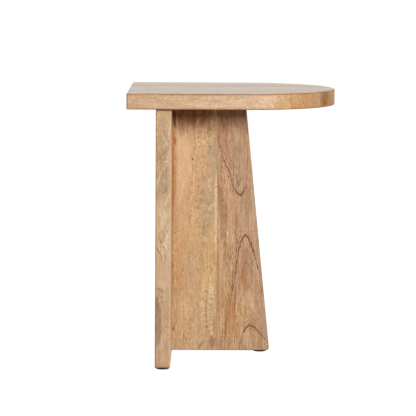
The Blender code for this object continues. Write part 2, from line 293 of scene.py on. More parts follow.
class NodeTree:
    """A node tree under construction: one method adds any node."""

    def __init__(self, node_tree):
        self.node_tree = node_tree

    def add(self, kind, settings=None, inputs=None, output=None):
        """Adds a node of this type, applies its settings, then fills its sockets with values or links."""
        node = self.node_tree.nodes.new(kind)
        for key, value in (settings or {}).items():
            if key == "points":
                self.set_points(node, value)
            else:
                setattr(node, key, value)
        for key, value in (inputs or {}).items():
            self.fill(node, key, value)
        return self.wire(node.outputs, output)

    def fill(self, node, key, value):
        """Sets a socket to a value, or links one wire or several to it."""
        socket = node.inputs[key] if isinstance(key, int) else self.enabled(node.inputs, key)
        for item in value if isinstance(value, list) else [value]:
            if isinstance(item, Wire):
                self.node_tree.links.new(item.socket, socket)
            elif socket.type == "RGBA" and len(item) == 3:
                socket.default_value = (*item, 1.0)
            else:
                socket.default_value = item

    def set_points(self, node, points):
        """Lays a Float Curve node's line through these points."""
        line = node.mapping.curves[0]
        node.mapping.use_clip = False
        while len(line.points) < len(points):
            line.points.new(0.5, 0.5)
        for point, place in zip(line.points, sorted(points)):
            point.location = place
        node.mapping.update()

    def enabled(self, sockets, name):
        """The socket with this name that the node's settings leave in use."""
        return next(socket for socket in sockets if socket.enabled and name in (None, socket.name))

    def wire(self, outputs, name=None):
        """The wire of the output with this name, or of the first one in use."""
        return Wire(self, self.enabled(outputs, name)) if len(outputs) else None

    def maths(self, operation, *values):
        """Adds a Math node."""
        return self.add("ShaderNodeMath", {"operation": operation}, dict(enumerate(values)))

    def vector(self, operation, *values):
        """Adds a Vector Math node whose result is a vector."""
        return self.add("ShaderNodeVectorMath", {"operation": operation}, dict(enumerate(values)))

    def scaled(self, vector, factor):
        """A vector or a colour times a number."""
        return self.add("ShaderNodeVectorMath", {"operation": "SCALE"}, {"Vector": vector, "Scale": factor})

    def length(self, vector):
        """How long a vector is."""
        return self.add("ShaderNodeVectorMath", {"operation": "LENGTH"}, {0: vector}, "Value")

    def parted(self, vector):
        """The X, the Y and the Z of a vector."""
        node = self.add("ShaderNodeSeparateXYZ", None, {"Vector": vector}, "X").socket.node
        return [Wire(self, node.outputs[axis]) for axis in "XYZ"]

    def mix(self, share, first, second, blend_type="MIX"):
        """Blends two colours by a share from 0 to 1."""
        settings = {"data_type": "RGBA", "blend_type": blend_type}
        return self.add("ShaderNodeMix", settings, {"Factor": share, "A": first, "B": second})

    def shaded(self, colour, change):
        """A colour made lighter and paler where the change is above 0, and darker and deeper below 0."""
        spread = self.scaled(PALENESS, change)
        return self.vector("MULTIPLY", colour, self.vector("ADD", spread, (1.0, 1.0, 1.0)))

    def rise(self, value, low, high):
        """Goes smoothly from 0 at low to 1 at high."""
        limits = {"Value": value, "From Min": low, "From Max": high}
        return self.add("ShaderNodeMapRange", {"interpolation_type": "SMOOTHSTEP"}, limits)

    def line(self, value, place, half_width):
        """Is 1 where the value is at the place, and falls to 0 at half the width from it."""
        return 1.0 - self.rise(abs(value - place), 0.0, half_width)

    def bump(self, height, strength, distance):
        """The normals of a surface with this relief."""
        inputs = {"Strength": strength, "Distance": distance, "Height": height}
        return self.add("ShaderNodeBump", None, inputs)

    def end_material(self, surface):
        """Ends the tree of a material with its surface."""
        self.add("ShaderNodeOutputMaterial", None, {"Surface": surface})


def empty_tree(owner):
    """The node tree of a new material or world, with nothing in it."""
    owner.use_nodes = True
    owner.node_tree.nodes.clear()
    return NodeTree(owner.node_tree)


def new_group(name, inputs):
    """An empty Geometry Nodes tree with these named inputs, and the wires of its inputs."""
    group = bpy.data.node_groups.new(name, "GeometryNodeTree")
    group.interface.new_socket("Geometry", in_out="INPUT", socket_type="NodeSocketGeometry")
    for label, kind in inputs.items():
        group.interface.new_socket(label, in_out="INPUT", socket_type=kind)
    group.interface.new_socket("Geometry", in_out="OUTPUT", socket_type="NodeSocketGeometry")
    tree = NodeTree(group)
    source = group.nodes.new("NodeGroupInput")
    return tree, {socket.name: Wire(tree, socket) for socket in source.outputs if socket.name}


def finish_group(tree, geometry, material):
    """Ends a Geometry Nodes tree with real geometry in its material."""
    smooth = tree.add("GeometryNodeSetShadeSmooth", None, {"Geometry": geometry, "Shade Smooth": True})
    real = tree.add("GeometryNodeRealizeInstances", None, {"Geometry": smooth})
    dressed = tree.add("GeometryNodeSetMaterial", None, {"Geometry": real, "Material": material})
    tree.add("NodeGroupOutput", None, {"Geometry": dressed})
    return tree.node_tree


def board_group():
    """Builds the tree that turns an outline into a slab with rounded edges, saws it and drills it."""
    tree, given = new_group(
        "sawn board",
        {
            "Thickness": "NodeSocketFloat",
            "Edge Radius": "NodeSocketFloat",
            "Edge Steps": "NodeSocketInt",
            "Saw Low": "NodeSocketVector",
            "Saw High": "NodeSocketVector",
            "Holes": "NodeSocketObject",
            "Material": "NodeSocketMaterial",
        },
    )
    radius, steps = given["Edge Radius"], given["Edge Steps"]
    half = given["Thickness"] * 0.5

    # The section of the slab's rim: a quarter turn at the lower edge and one at the upper edge
    index = tree.add("GeometryNodeInputIndex")
    upper = tree.maths("GREATER_THAN", index, steps)
    angle = ((index - upper) / steps - 1.0) * (math.pi / 2)
    outward = (tree.maths("COSINE", angle) - 1.0) * radius
    upward = (upper * 2.0 - 1.0) * (half - radius) + tree.maths("SINE", angle) * radius
    point = tree.add("ShaderNodeCombineXYZ", None, {"X": outward, "Y": upward})
    straight = tree.add("GeometryNodeCurvePrimitiveLine")
    counted = {"Curve": straight, "Count": steps * 2.0 + 2.0}
    section = tree.add("GeometryNodeResampleCurve", {"mode": "COUNT"}, counted)
    section = tree.add("GeometryNodeSetPosition", None, {"Geometry": section, "Position": point})

    # The rim follows the outline, and the loops of its open edges, which have a single face, are filled
    outline = tree.add("GeometryNodeSetCurveNormal", {"mode": "Z_UP"}, {"Curve": given["Geometry"]})
    rim = tree.add("GeometryNodeCurveToMesh", None, {"Curve": outline, "Profile Curve": section})
    open_edges = tree.maths("LESS_THAN", tree.add("GeometryNodeInputMeshEdgeNeighbors"), 1.5)
    height = tree.add("ShaderNodeSeparateXYZ", None, {"Vector": tree.add("GeometryNodeInputPosition")}, "Z")
    upper_loop = open_edges * tree.maths("GREATER_THAN", height, 0.0)
    loop = tree.add("GeometryNodeMeshToCurve", None, {"Mesh": rim, "Selection": upper_loop})
    face = tree.add("GeometryNodeFillCurve", {"mode": "NGONS"}, {"Curve": loop})
    raised = tree.add("ShaderNodeCombineXYZ", None, {"Z": half})
    lowered = tree.add("ShaderNodeCombineXYZ", None, {"Z": -half})
    top = tree.add("GeometryNodeTransform", None, {"Geometry": face, "Translation": raised})
    turned = tree.add("GeometryNodeFlipFaces", None, {"Mesh": face})
    bottom = tree.add("GeometryNodeTransform", None, {"Geometry": turned, "Translation": lowered})
    parts = tree.add("GeometryNodeJoinGeometry", None, {"Geometry": [rim, top, bottom]})
    slab = tree.add("GeometryNodeMergeByDistance", None, {"Geometry": parts, "Distance": WELD_DISTANCE})

    # The saw keeps what lies in its box, and the drill takes out the holes
    low, high = given["Saw Low"], given["Saw High"]
    middle = tree.add("ShaderNodeMix", {"data_type": "VECTOR"}, {"Factor": 0.5, "A": low, "B": high})
    box = tree.add("GeometryNodeMeshCube", None, {"Size": tree.vector("SUBTRACT", high, low)})
    box = tree.add("GeometryNodeTransform", None, {"Geometry": box, "Translation": middle})
    sawn = tree.add("GeometryNodeMeshBoolean", {"operation": "INTERSECT"}, {"Mesh": [slab, box]})
    space = {"transform_space": "RELATIVE"}
    holes = tree.add("GeometryNodeObjectInfo", space, {"Object": given["Holes"]}, "Geometry")
    cut = {"Mesh 1": sawn, "Mesh 2": holes}
    drilled = tree.add("GeometryNodeMeshBoolean", {"operation": "DIFFERENCE"}, cut)
    return finish_group(tree, drilled, given["Material"])


def dowel_group():
    """Builds the tree of a fluted dowel along Z, with chamfered ends."""
    tree, given = new_group(
        "fluted dowel",
        {
            "Radius": "NodeSocketFloat",
            "Length": "NodeSocketFloat",
            "Chamfer": "NodeSocketFloat",
            "Flutes": "NodeSocketInt",
            "Flute Depth": "NodeSocketFloat",
            "Material": "NodeSocketMaterial",
        },
    )
    radius, chamfer = given["Radius"], given["Chamfer"]

    # The section: flutes that pull the circle in
    sides = {"Resolution": given["Flutes"] * FLUTE_POINTS, "Radius": radius}
    circle = tree.add("GeometryNodeCurvePrimitiveCircle", None, sides, "Curve")
    turn = tree.add("GeometryNodeInputIndex") / FLUTE_POINTS * math.tau
    groove = (0.5 - tree.maths("COSINE", turn) * 0.5) ** 2.0
    shrink = 1.0 - groove * given["Flute Depth"] / radius
    place = tree.add("GeometryNodeInputPosition")
    drawn_in = tree.scaled(place, shrink)
    section = tree.add("GeometryNodeSetPosition", None, {"Geometry": circle, "Position": drawn_in})

    # Four stations along the dowel: an end, a chamfer's foot, and the same at the other end
    station = tree.add("GeometryNodeInputIndex")
    middle = (DOWEL_STATIONS - 1) / 2
    side = tree.maths("GREATER_THAN", station, middle) * 2.0 - 1.0
    at_end = tree.maths("GREATER_THAN", abs(station - middle), 1.0)
    height = side * (given["Length"] * 0.5 - chamfer * (1.0 - at_end))
    path = tree.add("GeometryNodeCurvePrimitiveLine")
    counted = {"Curve": path, "Count": DOWEL_STATIONS}
    path = tree.add("GeometryNodeResampleCurve", {"mode": "COUNT"}, counted)
    point = tree.add("ShaderNodeCombineXYZ", None, {"Z": height})
    path = tree.add("GeometryNodeSetPosition", None, {"Geometry": path, "Position": point})
    scale = 1.0 - at_end * chamfer / radius
    swept = {"Curve": path, "Profile Curve": section, "Scale": scale, "Fill Caps": True}
    dowel = tree.add("GeometryNodeCurveToMesh", None, swept)
    return finish_group(tree, dowel, given["Material"])


def run_group(helper, group, values):
    """Runs a Geometry Nodes tree on a helper object, and returns its mesh where the helper stands."""
    modifier = helper.modifiers.new(group.name, "NODES")
    modifier.node_group = group
    inputs = {item.name: item.identifier for item in group.interface.items_tree if item.in_out == "INPUT"}
    for name, value in values.items():
        modifier[inputs[name]] = value
    graph = bpy.context.evaluated_depsgraph_get()
    mesh = bpy.data.meshes.new_from_object(helper.evaluated_get(graph), depsgraph=graph)
    if not mesh.polygons:
        raise RuntimeError(f"{group.name} made no faces for {helper.name}")
    mesh.transform(helper.matrix_world)
    helper.modifiers.remove(modifier)
    return mesh


def mesh_of(shape, name):
    """Ends the work on a BMesh and returns it as a mesh."""
    mesh = bpy.data.meshes.new(name)
    shape.to_mesh(mesh)
    shape.free()
    return mesh


def link(obj):
    """Puts an object in the scene."""
    bpy.context.scene.collection.objects.link(obj)
    bpy.context.view_layer.update()
    return obj


def even_normals(obj):
    """Shades flat faces flat and round edges round, by weighting the normals by the size of the faces."""
    obj.data.shade_smooth()
    obj.data.set_sharp_from_angle(angle=SHARP_ANGLE)
    weighting = obj.modifiers.new("even shading", "WEIGHTED_NORMAL")
    weighting.keep_sharp = True
    weighting.weight = FACE_SIZE_WEIGHT
    graph = bpy.context.evaluated_depsgraph_get()
    shaded = bpy.data.meshes.new_from_object(obj.evaluated_get(graph), depsgraph=graph)
    obj.modifiers.remove(weighting)
    obj.data = shaded


def add_piece(node, ending, mesh, material):
    """Adds the piece that stands for a node of the frame."""
    piece = bpy.data.objects.new(f"{node}_{ending}", mesh)
    mesh.name = piece.name
    mesh.materials.clear()
    mesh.materials.append(material)
    link(piece)
    even_normals(piece)
    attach(piece, BODY)
    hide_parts(node)
    slot_of(node)


def slot_of(node):
    """The material slot that the record gives a node."""
    return next(part["material_slot"] for part in frame["record"]["subparts"] if part["node"] == node)


def box_of(nodes):
    """The lowest and highest corners of a group of nodes."""
    boxes = [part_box(node) for node in nodes]
    low = Vector([min(box[0][axis] for box in boxes) for axis in range(3)])
    high = Vector([max(box[1][axis] for box in boxes) for axis in range(3)])
    return low, high


def board_spans(nodes, axis):
    """Where each board of a panel lies along an axis. Boards meet in the middle of the frame's glue gaps."""
    boxes = [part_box(node) for node in nodes]
    joints = [(before[1][axis] + after[0][axis]) / 2 for before, after in zip(boxes, boxes[1:])]
    edges = [boxes[0][0][axis] - SAW_REACH, *joints, boxes[-1][1][axis] + SAW_REACH]
    return list(zip(edges, edges[1:]))


def fillet(before, corner, after, radius, steps):
    """Points of the arc that rounds one corner of an outline."""
    to_before = (before - corner).normalized()
    to_after = (after - corner).normalized()
    half_angle = to_before.angle(to_after) / 2
    centre = corner + (to_before + to_after).normalized() * (radius / math.sin(half_angle))
    start = corner + to_before * (radius / math.tan(half_angle)) - centre
    sweep = math.pi - 2 * half_angle
    if to_after.cross(to_before) < 0:
        sweep = -sweep
    return [centre + Matrix.Rotation(sweep * step / steps, 2) @ start for step in range(steps + 1)]


def outline_object(name, points, place):
    """A closed outline in its own XY plane, set in place by a matrix."""
    curve = bpy.data.curves.new(name, "CURVE")
    curve.dimensions = "3D"
    spline = curve.splines.new("POLY")
    spline.points.add(len(points) - 1)
    for spline_point, point in zip(spline.points, points):
        spline_point.co = (*point, 0.0, 1.0)
    spline.use_cyclic_u = True
    obj = bpy.data.objects.new(name, curve)
    obj.matrix_world = place
    return link(obj)


def panel_frame(origin, across, upward, outward):
    """The matrix of a panel drawn in XY, from where its origin lies and where its X, Y and Z point."""
    turn = Matrix((across, upward, outward)).transposed().to_4x4()
    return Matrix.Translation(origin) @ turn


def dowel_frame(node):
    """Where a dowel lies: the matrix that turns Z along it, its radius and its length."""
    low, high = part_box(node)
    size = high - low
    length = max(size)
    direction = Vector([1.0 if side == length else 0.0 for side in size])
    turn = Vector((0, 0, 1)).rotation_difference(direction).to_matrix().to_4x4()
    return Matrix.Translation((low + high) / 2) @ turn, min(size) / 2, length


def holes_object(sizes):
    """One object with a drill for each dowel's hole, which the boards are drilled with."""
    drills = bmesh.new()
    for node in DOWELS:
        place, radius, length = dowel_frame(node)
        wide = radius + sizes.hole_clearance
        deep = length + 2 * sizes.hole_end_space
        bmesh.ops.create_cone(
            drills, cap_ends=True, segments=HOLE_SIDES, radius1=wide, radius2=wide, depth=deep, matrix=place
        )
    return link(bpy.data.objects.new("dowel_holes", mesh_of(drills, "dowel_holes")))


def add_boards(nodes, outline, saws, spans, thickness, radius, looks, rows):
    """Saws the boards of one panel from its blank, and gives each its own wood."""
    settings = bpy.context.scene.side_table
    group = board_group()
    holes = holes_object(settings.sizes)
    for node, (saw_low, saw_high), span in zip(nodes, saws, spans):
        material = wood_material(node, looks[node], rows, span, settings.colours)
        values = {
            "Thickness": thickness,
            "Edge Radius": radius,
            "Edge Steps": settings.sizes.edge_steps,
            "Saw Low": saw_low,
            "Saw High": saw_high,
            "Holes": holes,
            "Material": material,
        }
        add_piece(node, "wood", run_group(outline, group, values), material)
    bpy.data.objects.remove(outline)
    bpy.data.objects.remove(holes)


class Mark(NamedTuple):
    """A patch of another colour: its middle, and its reach along, across and through the board."""

    colour: str
    middle: tuple
    reach: tuple
    share: float
    ragged: float = 0.5
    lean: float = 0.0


class Ripple(NamedTuple):
    """Fiddleback: short bands across the grain, in one stretch of a board."""

    middle: tuple
    reach: tuple
    spacing: float
    depth: float


class Curl(NamedTuple):
    """A stretch of a board where the grain swirls, and how far it is thrown aside."""

    middle: tuple
    reach: tuple
    throw: float


class Calm(NamedTuple):
    """A smooth stretch of a board, and how much of its figure is lost there."""

    middle: tuple
    reach: tuple
    share: float


class Look(NamedTuple):
    """What sets one board apart from the next."""

    seed: float
    pale: str
    dark: str
    patch: str
    vein: str = "gold"
    patch_share: float = 0.5
    pith_across: float = 0.0
    pith_through: float = 0.12
    arching: float = 0.02
    ring_spacing: float = 0.007
    ring_strength: float = 0.45
    streak_strength: float = 0.6
    speckle: float = 0.5
    threads: float = 0.5
    marks: tuple = ()
    ripples: tuple = ()
    curls: tuple = ()
    calms: tuple = ()
    low_arris: str = "rosewood"
    high_arris: str = "ember"


class Ring(NamedTuple):
    """A dark line drawn by one growth ring: its distance from the pith, its half width and its strength."""

    radius: float
    half_width: float
    share: float


class Heart(NamedTuple):
    """The line of the tree's pith behind a board: how far across and how deep it lies at each height."""

    across: tuple
    depth: tuple
    rings: tuple


# Height and place of the pith behind the outer board of the centre panel. Its rings close in a U below the
# top and open again in two arches lower down.
HEART = Heart(
    across=(
        (0.010, 0.0490),
        (0.023, 0.0450),
        (0.032, 0.0415),
        (0.044, 0.0393),
        (0.054, 0.0378),
        (0.076, 0.0350),
        (0.110, 0.0345),
        (0.143, 0.0346),
        (0.163, 0.0321),
        (0.178, 0.0300),
        (0.2015, 0.0290),
        (0.216, 0.0276),
        (0.234, 0.0264),
        (0.270, 0.0215),
        (0.312, 0.0170),
        (0.326, 0.0150),
        (0.348, 0.0138),
        (0.373, 0.0090),
        (0.405, 0.0038),
        (0.462, -0.0010),
        (0.490, -0.0020),
    ),
    depth=(
        (0.0000, 0.0023),
        (0.0150, 0.0156),
        (0.0230, 0.0216),
        (0.0320, 0.0267),
        (0.0440, 0.0317),
        (0.0520, 0.0346),
        (0.0760, 0.0428),
        (0.1100, 0.0487),
        (0.1430, 0.0530),
        (0.1630, 0.0554),
        (0.1780, 0.0569),
        (0.2015, 0.0592),
        (0.2160, 0.0605),
        (0.2290, 0.0620),
        (0.2400, 0.0638),
        (0.2520, 0.0655),
        (0.2720, 0.0662),
        (0.2920, 0.0652),
        (0.3040, 0.0637),
        (0.3125, 0.0620),
        (0.3260, 0.0602),
        (0.3340, 0.0594),
        (0.3480, 0.0586),
        (0.3730, 0.0559),
        (0.4050, 0.0531),
        (0.4620, 0.0514),
        (0.4900, 0.0514),
    ),
    rings=(
        Ring(0.0318, 0.0005, 0.35),
        Ring(0.0346, 0.0008, 1.40),
        Ring(0.0362, 0.0005, 0.60),
        Ring(0.0385, 0.0006, 0.40),
        Ring(0.0412, 0.0005, 0.40),
        Ring(0.0450, 0.0005, 0.30),
        Ring(0.0510, 0.0005, 0.30),
        Ring(0.0566, 0.0005, 0.35),
        Ring(0.0590, 0.0006, 0.35),
        Ring(0.0620, 0.0008, 0.85),
        Ring(0.0637, 0.0006, 0.65),
        Ring(0.0654, 0.0006, 0.50),
        Ring(0.0674, 0.0006, 0.45),
        Ring(0.0698, 0.0006, 0.40),
        Ring(0.0724, 0.0007, 0.35),
        Ring(0.0755, 0.0007, 0.30),
    ),
)
# Height that the heart's lines span, how far their values reach, and how pointed its rings are
HEART_HEIGHT = 0.5
HEART_REACH = 0.1
HEART_POINT = 0.12

# Height at which the pith lies deepest, and how rings farther from the pith than this radius fade near it
SADDLE = 0.272
SADDLE_RADIUS = 0.0625
SADDLE_FADE = (0.020, 0.065)
SADDLE_SHARE = 0.12

# How much fainter the farther rings are right of the pith, and the nearer ones, which fade over these heights
RIGHT_FADE = 0.7
U_RIGHT_FADE = 0.5
U_FADE = (0.29, 0.35)

# Heights and radii at which the darker wood inside the U ends, and how much of it shows
U_FOOT = (0.26, 0.30)
U_RADII = (0.0612, 0.0622)
U_SHARE = 0.45

# Where faces lie that hold marks: fronts in Y, the middle of the top in Z, and how deep a mark goes
CENTRE_FRONT = -0.015
TOP_FRONT = -0.175
TOP_MIDDLE = 0.505
ROUND_END_CENTRE = 0.025
ROUND_END_RADIUS = 0.175
ROUND_END_MARK_HEIGHT = 0.03
SKIN_DEPTH = 0.02

# The lacquer: a thin matt coat all over, and a smooth thick one on the table top
THIN_GLOSS = 0.12
THIN_ROUGHNESS = 0.48
THICK_COAT = {ALONG_TABLE: 0.54, UPRIGHT_END_PANEL: 0.0, UPRIGHT_CENTRE_PANEL: 0.0}
THICK_ROUGHNESS = 0.22

# How far from the middle of the top's thickness the painted edge shade in its rim starts and is full, and how
# much shows
EDGE_SHADE_REACH = (0.0100, 0.0140)
EDGE_SHADE_LEAST = 0.25
EDGE_SHADE_SPREAD = 0.6

# Half width of a glue line, its solid part and how much of it shows
GLUE_LINE = 0.0005
GLUE_SOLID = 0.3
GLUE_SHARE = 0.3


def on_centre_front(colour, height, x, half_length, half_width, share, ragged=0.5, lean=0.0):
    """A patch on the front face of the centre panel."""
    reach = (half_length, half_width, SKIN_DEPTH)
    return Mark(colour, (height, x, CENTRE_FRONT), reach, share, ragged, lean)


def on_end_front(colour, height, x, half_length, half_width, share, ragged=0.5, lean=0.0):
    """A patch on the front edge of the end panel, which leans back as it rises."""
    setback = (END_PANEL_FOOT_DEPTH - END_PANEL_TOP_DEPTH) / 2 * height / END_PANEL_HEIGHT
    reach = (half_length, SKIN_DEPTH, half_width)
    return Mark(colour, (height, setback - END_PANEL_FOOT_DEPTH / 2, -x), reach, share, ragged, lean)


def on_front_edge(colour, x, height, half_length, half_height, share, ragged):
    """A patch on the straight front edge of the top."""
    return Mark(colour, (x, TOP_FRONT, height), (half_length, SKIN_DEPTH, half_height), share, ragged)


def on_round_end(colour, angle, half_length, share, ragged=0.4):
    """A patch on the round end, by its angle in degrees from the table's length towards the front."""
    turn = math.radians(angle)
    along = ROUND_END_CENTRE + ROUND_END_RADIUS * math.cos(turn)
    place = (along, -ROUND_END_RADIUS * math.sin(turn), TOP_MIDDLE)
    return Mark(colour, place, (half_length, SKIN_DEPTH, ROUND_END_MARK_HEIGHT), share, ragged)


ROUND_END_MARKS_2 = (
    Mark("bronze", (0.143, -0.138, 0.500), (0.080, 0.036, 0.034), 1.00, 0.3),
    Mark("rosewood", (0.137, -0.133, 0.506), (0.0013, 0.020, 0.016), 0.55, 0.3),
    on_round_end("honey", 46, 0.0050, 0.35),
)

ROUND_END_MARKS_3 = (
    Mark("bronze", (0.190, -0.085, 0.500), (0.045, 0.060, 0.030), 0.95, 0.3),
    on_round_end("rosewood", 34, 0.0090, 0.45),
    on_round_end("amber", 29, 0.0120, 0.50),
    # Painted grey sheen: a thin sage line at the outermost rim of the round end
    on_round_end("sage", 6, 0.0030, 0.45),
)

FRONT_EDGE_MARKS = (
    # Painted highlight where the light catches the bend of the front strip
    on_front_edge("pearl", 0.040, 0.503, 0.045, 0.022, 0.15, 0.35),
    on_front_edge("straw", -0.050, 0.505, 0.070, 0.010, 0.60, 0.6),
    on_front_edge("honey", -0.100, 0.500, 0.025, 0.010, 0.35, 0.8),
    on_front_edge("blush", -0.160, 0.506, 0.040, 0.012, 0.40, 0.8),
    on_round_end("bronze", 66, 0.0240, 0.60, 0.8),
    on_round_end("bronze", 60, 0.0100, 0.60, 0.4),
)

# The amber edges of the top's front boards are painted edge shade
TOP_LOOKS = {
    "top_board_1": Look(
        seed=1.0,
        pale="straw",
        dark="salmon",
        patch="blush",
        vein="honey",
        patch_share=0.4,
        pith_across=-0.30,
        ring_spacing=0.006,
        ring_strength=0.35,
        streak_strength=0.35,
        speckle=0.40,
        threads=0.4,
        marks=FRONT_EDGE_MARKS,
        low_arris="amber",
        high_arris="amber",
    ),
    "top_board_2": Look(
        seed=2.3,
        pale="blush",
        dark="tan",
        patch="honey",
        vein="honey",
        streak_strength=0.4,
        speckle=0.4,
        low_arris="amber",
        high_arris="amber",
        pith_across=-0.10,
        pith_through=0.44,
        marks=ROUND_END_MARKS_2,
    ),
    "top_board_3": Look(
        seed=3.1,
        pale="honey",
        dark="tan",
        patch="salmon",
        vein="gold",
        speckle=0.4,
        low_arris="amber",
        high_arris="amber",
        pith_across=-0.07,
        pith_through=0.46,
        marks=ROUND_END_MARKS_3,
    ),
    "top_board_4": Look(
        seed=4.7,
        pale="straw",
        dark="tan",
        patch="blush",
        pith_across=0.02,
        pith_through=0.40,
    ),
    "top_board_5": Look(
        seed=5.9,
        pale="honey",
        dark="rosewood",
        patch="heartwood",
        pith_across=0.068,
        pith_through=0.44,
        arching=0.030,
        ring_spacing=0.005,
        ring_strength=0.75,
    ),
    "top_board_6": Look(
        seed=6.4,
        pale="straw",
        dark="honey",
        patch="blush",
        pith_across=0.14,
        pith_through=0.42,
    ),
    "top_board_7": Look(
        seed=7.2,
        pale="tan",
        dark="honey",
        patch="straw",
        pith_across=0.30,
        ring_spacing=0.006,
    ),
}

END_FRONT_MARKS = (
    on_end_front("gold", 0.460, -0.1430, 0.040, 0.0050, 0.50),
    on_end_front("cream", 0.455, -0.1200, 0.020, 0.0045, 0.60, 0.5),
    on_end_front("tan", 0.450, -0.1330, 0.026, 0.0100, 0.60, 0.7),
    on_end_front("rosewood", 0.385, -0.1330, 0.055, 0.0130, 0.35, 0.7),
    on_end_front("sage", 0.405, -0.1330, 0.022, 0.0140, 0.70, 0.6, 0.5),
    on_end_front("rosewood", 0.412, -0.1280, 0.016, 0.0070, 0.50, 0.8, 0.6),
    on_end_front("rosewood", 0.372, -0.1260, 0.014, 0.0060, 0.50, 0.8, 0.6),
    on_end_front("rosewood", 0.338, -0.1300, 0.016, 0.0080, 0.50, 0.8, 0.6),
    on_end_front("cream", 0.392, -0.1250, 0.0030, 0.0040, 0.60, 0.4, 0.8),
    on_end_front("cream", 0.358, -0.1390, 0.0200, 0.0030, 0.60, 0.6, 0.4),
    on_end_front("cream", 0.320, -0.1230, 0.0180, 0.0030, 0.70, 0.6, 0.4),
    on_end_front("sage", 0.350, -0.1310, 0.045, 0.0140, 0.55, 0.7, 0.3),
    on_end_front("cream", 0.283, -0.1290, 0.030, 0.0080, 0.70, 0.6, 0.3),
    on_end_front("cream", 0.240, -0.1250, 0.030, 0.0060, 0.70, 0.6, 0.3),
    on_end_front("salmon", 0.230, -0.1400, 0.030, 0.0060, 0.40, 0.6, 0.3),
    on_end_front("ring_brown", 0.243, -0.1350, 0.0080, 0.0013, 0.75, 0.4, -0.35),
    on_end_front("ring_brown", 0.224, -0.1390, 0.0085, 0.0013, 0.75, 0.4, -0.35),
    on_end_front("ring_brown", 0.231, -0.1290, 0.0060, 0.0011, 0.55, 0.4, -0.35),
    on_end_front("ring_brown", 0.213, -0.1330, 0.0060, 0.0011, 0.55, 0.4, -0.35),
    on_end_front("salmon", 0.177, -0.1300, 0.030, 0.0220, 0.95, 0.25),
    on_end_front("rosewood", 0.151, -0.1345, 0.0050, 0.0075, 0.75, 0.5, -1.2),
    on_end_front("rosewood", 0.090, -0.1395, 0.0640, 0.0095, 0.90, 0.6),
    on_end_front("heartwood", 0.085, -0.1250, 0.0650, 0.0080, 0.90, 0.6),
    on_end_front("heartwood", 0.016, -0.1300, 0.027, 0.0260, 0.95, 0.25),
)

END_FRONT_CALMS = (Calm((0.177, -0.192, 0.130), (0.034, SKIN_DEPTH, 0.024), 0.70),)

END_LOOKS = {
    "end_panel_board_1": Look(
        seed=11.2,
        pale="straw",
        dark="tan",
        patch="sage",
        pith_across=-0.34,
        pith_through=0.30,
        marks=END_FRONT_MARKS,
        calms=END_FRONT_CALMS,
        low_arris="straw",
    ),
    "end_panel_board_2": Look(seed=12.6, pale="honey", dark="tan", patch="blush", pith_across=-0.06),
    "end_panel_board_3": Look(
        seed=13.8,
        pale="blush",
        dark="rosewood",
        patch="heartwood",
        pith_across=0.01,
        pith_through=0.07,
        arching=0.030,
        ring_spacing=0.005,
        ring_strength=0.75,
    ),
    "end_panel_board_4": Look(seed=14.1, pale="straw", dark="tan", patch="honey", pith_across=0.09),
    "end_panel_board_5": Look(seed=15.5, pale="tan", dark="rosewood", patch="blush", pith_across=0.18),
}

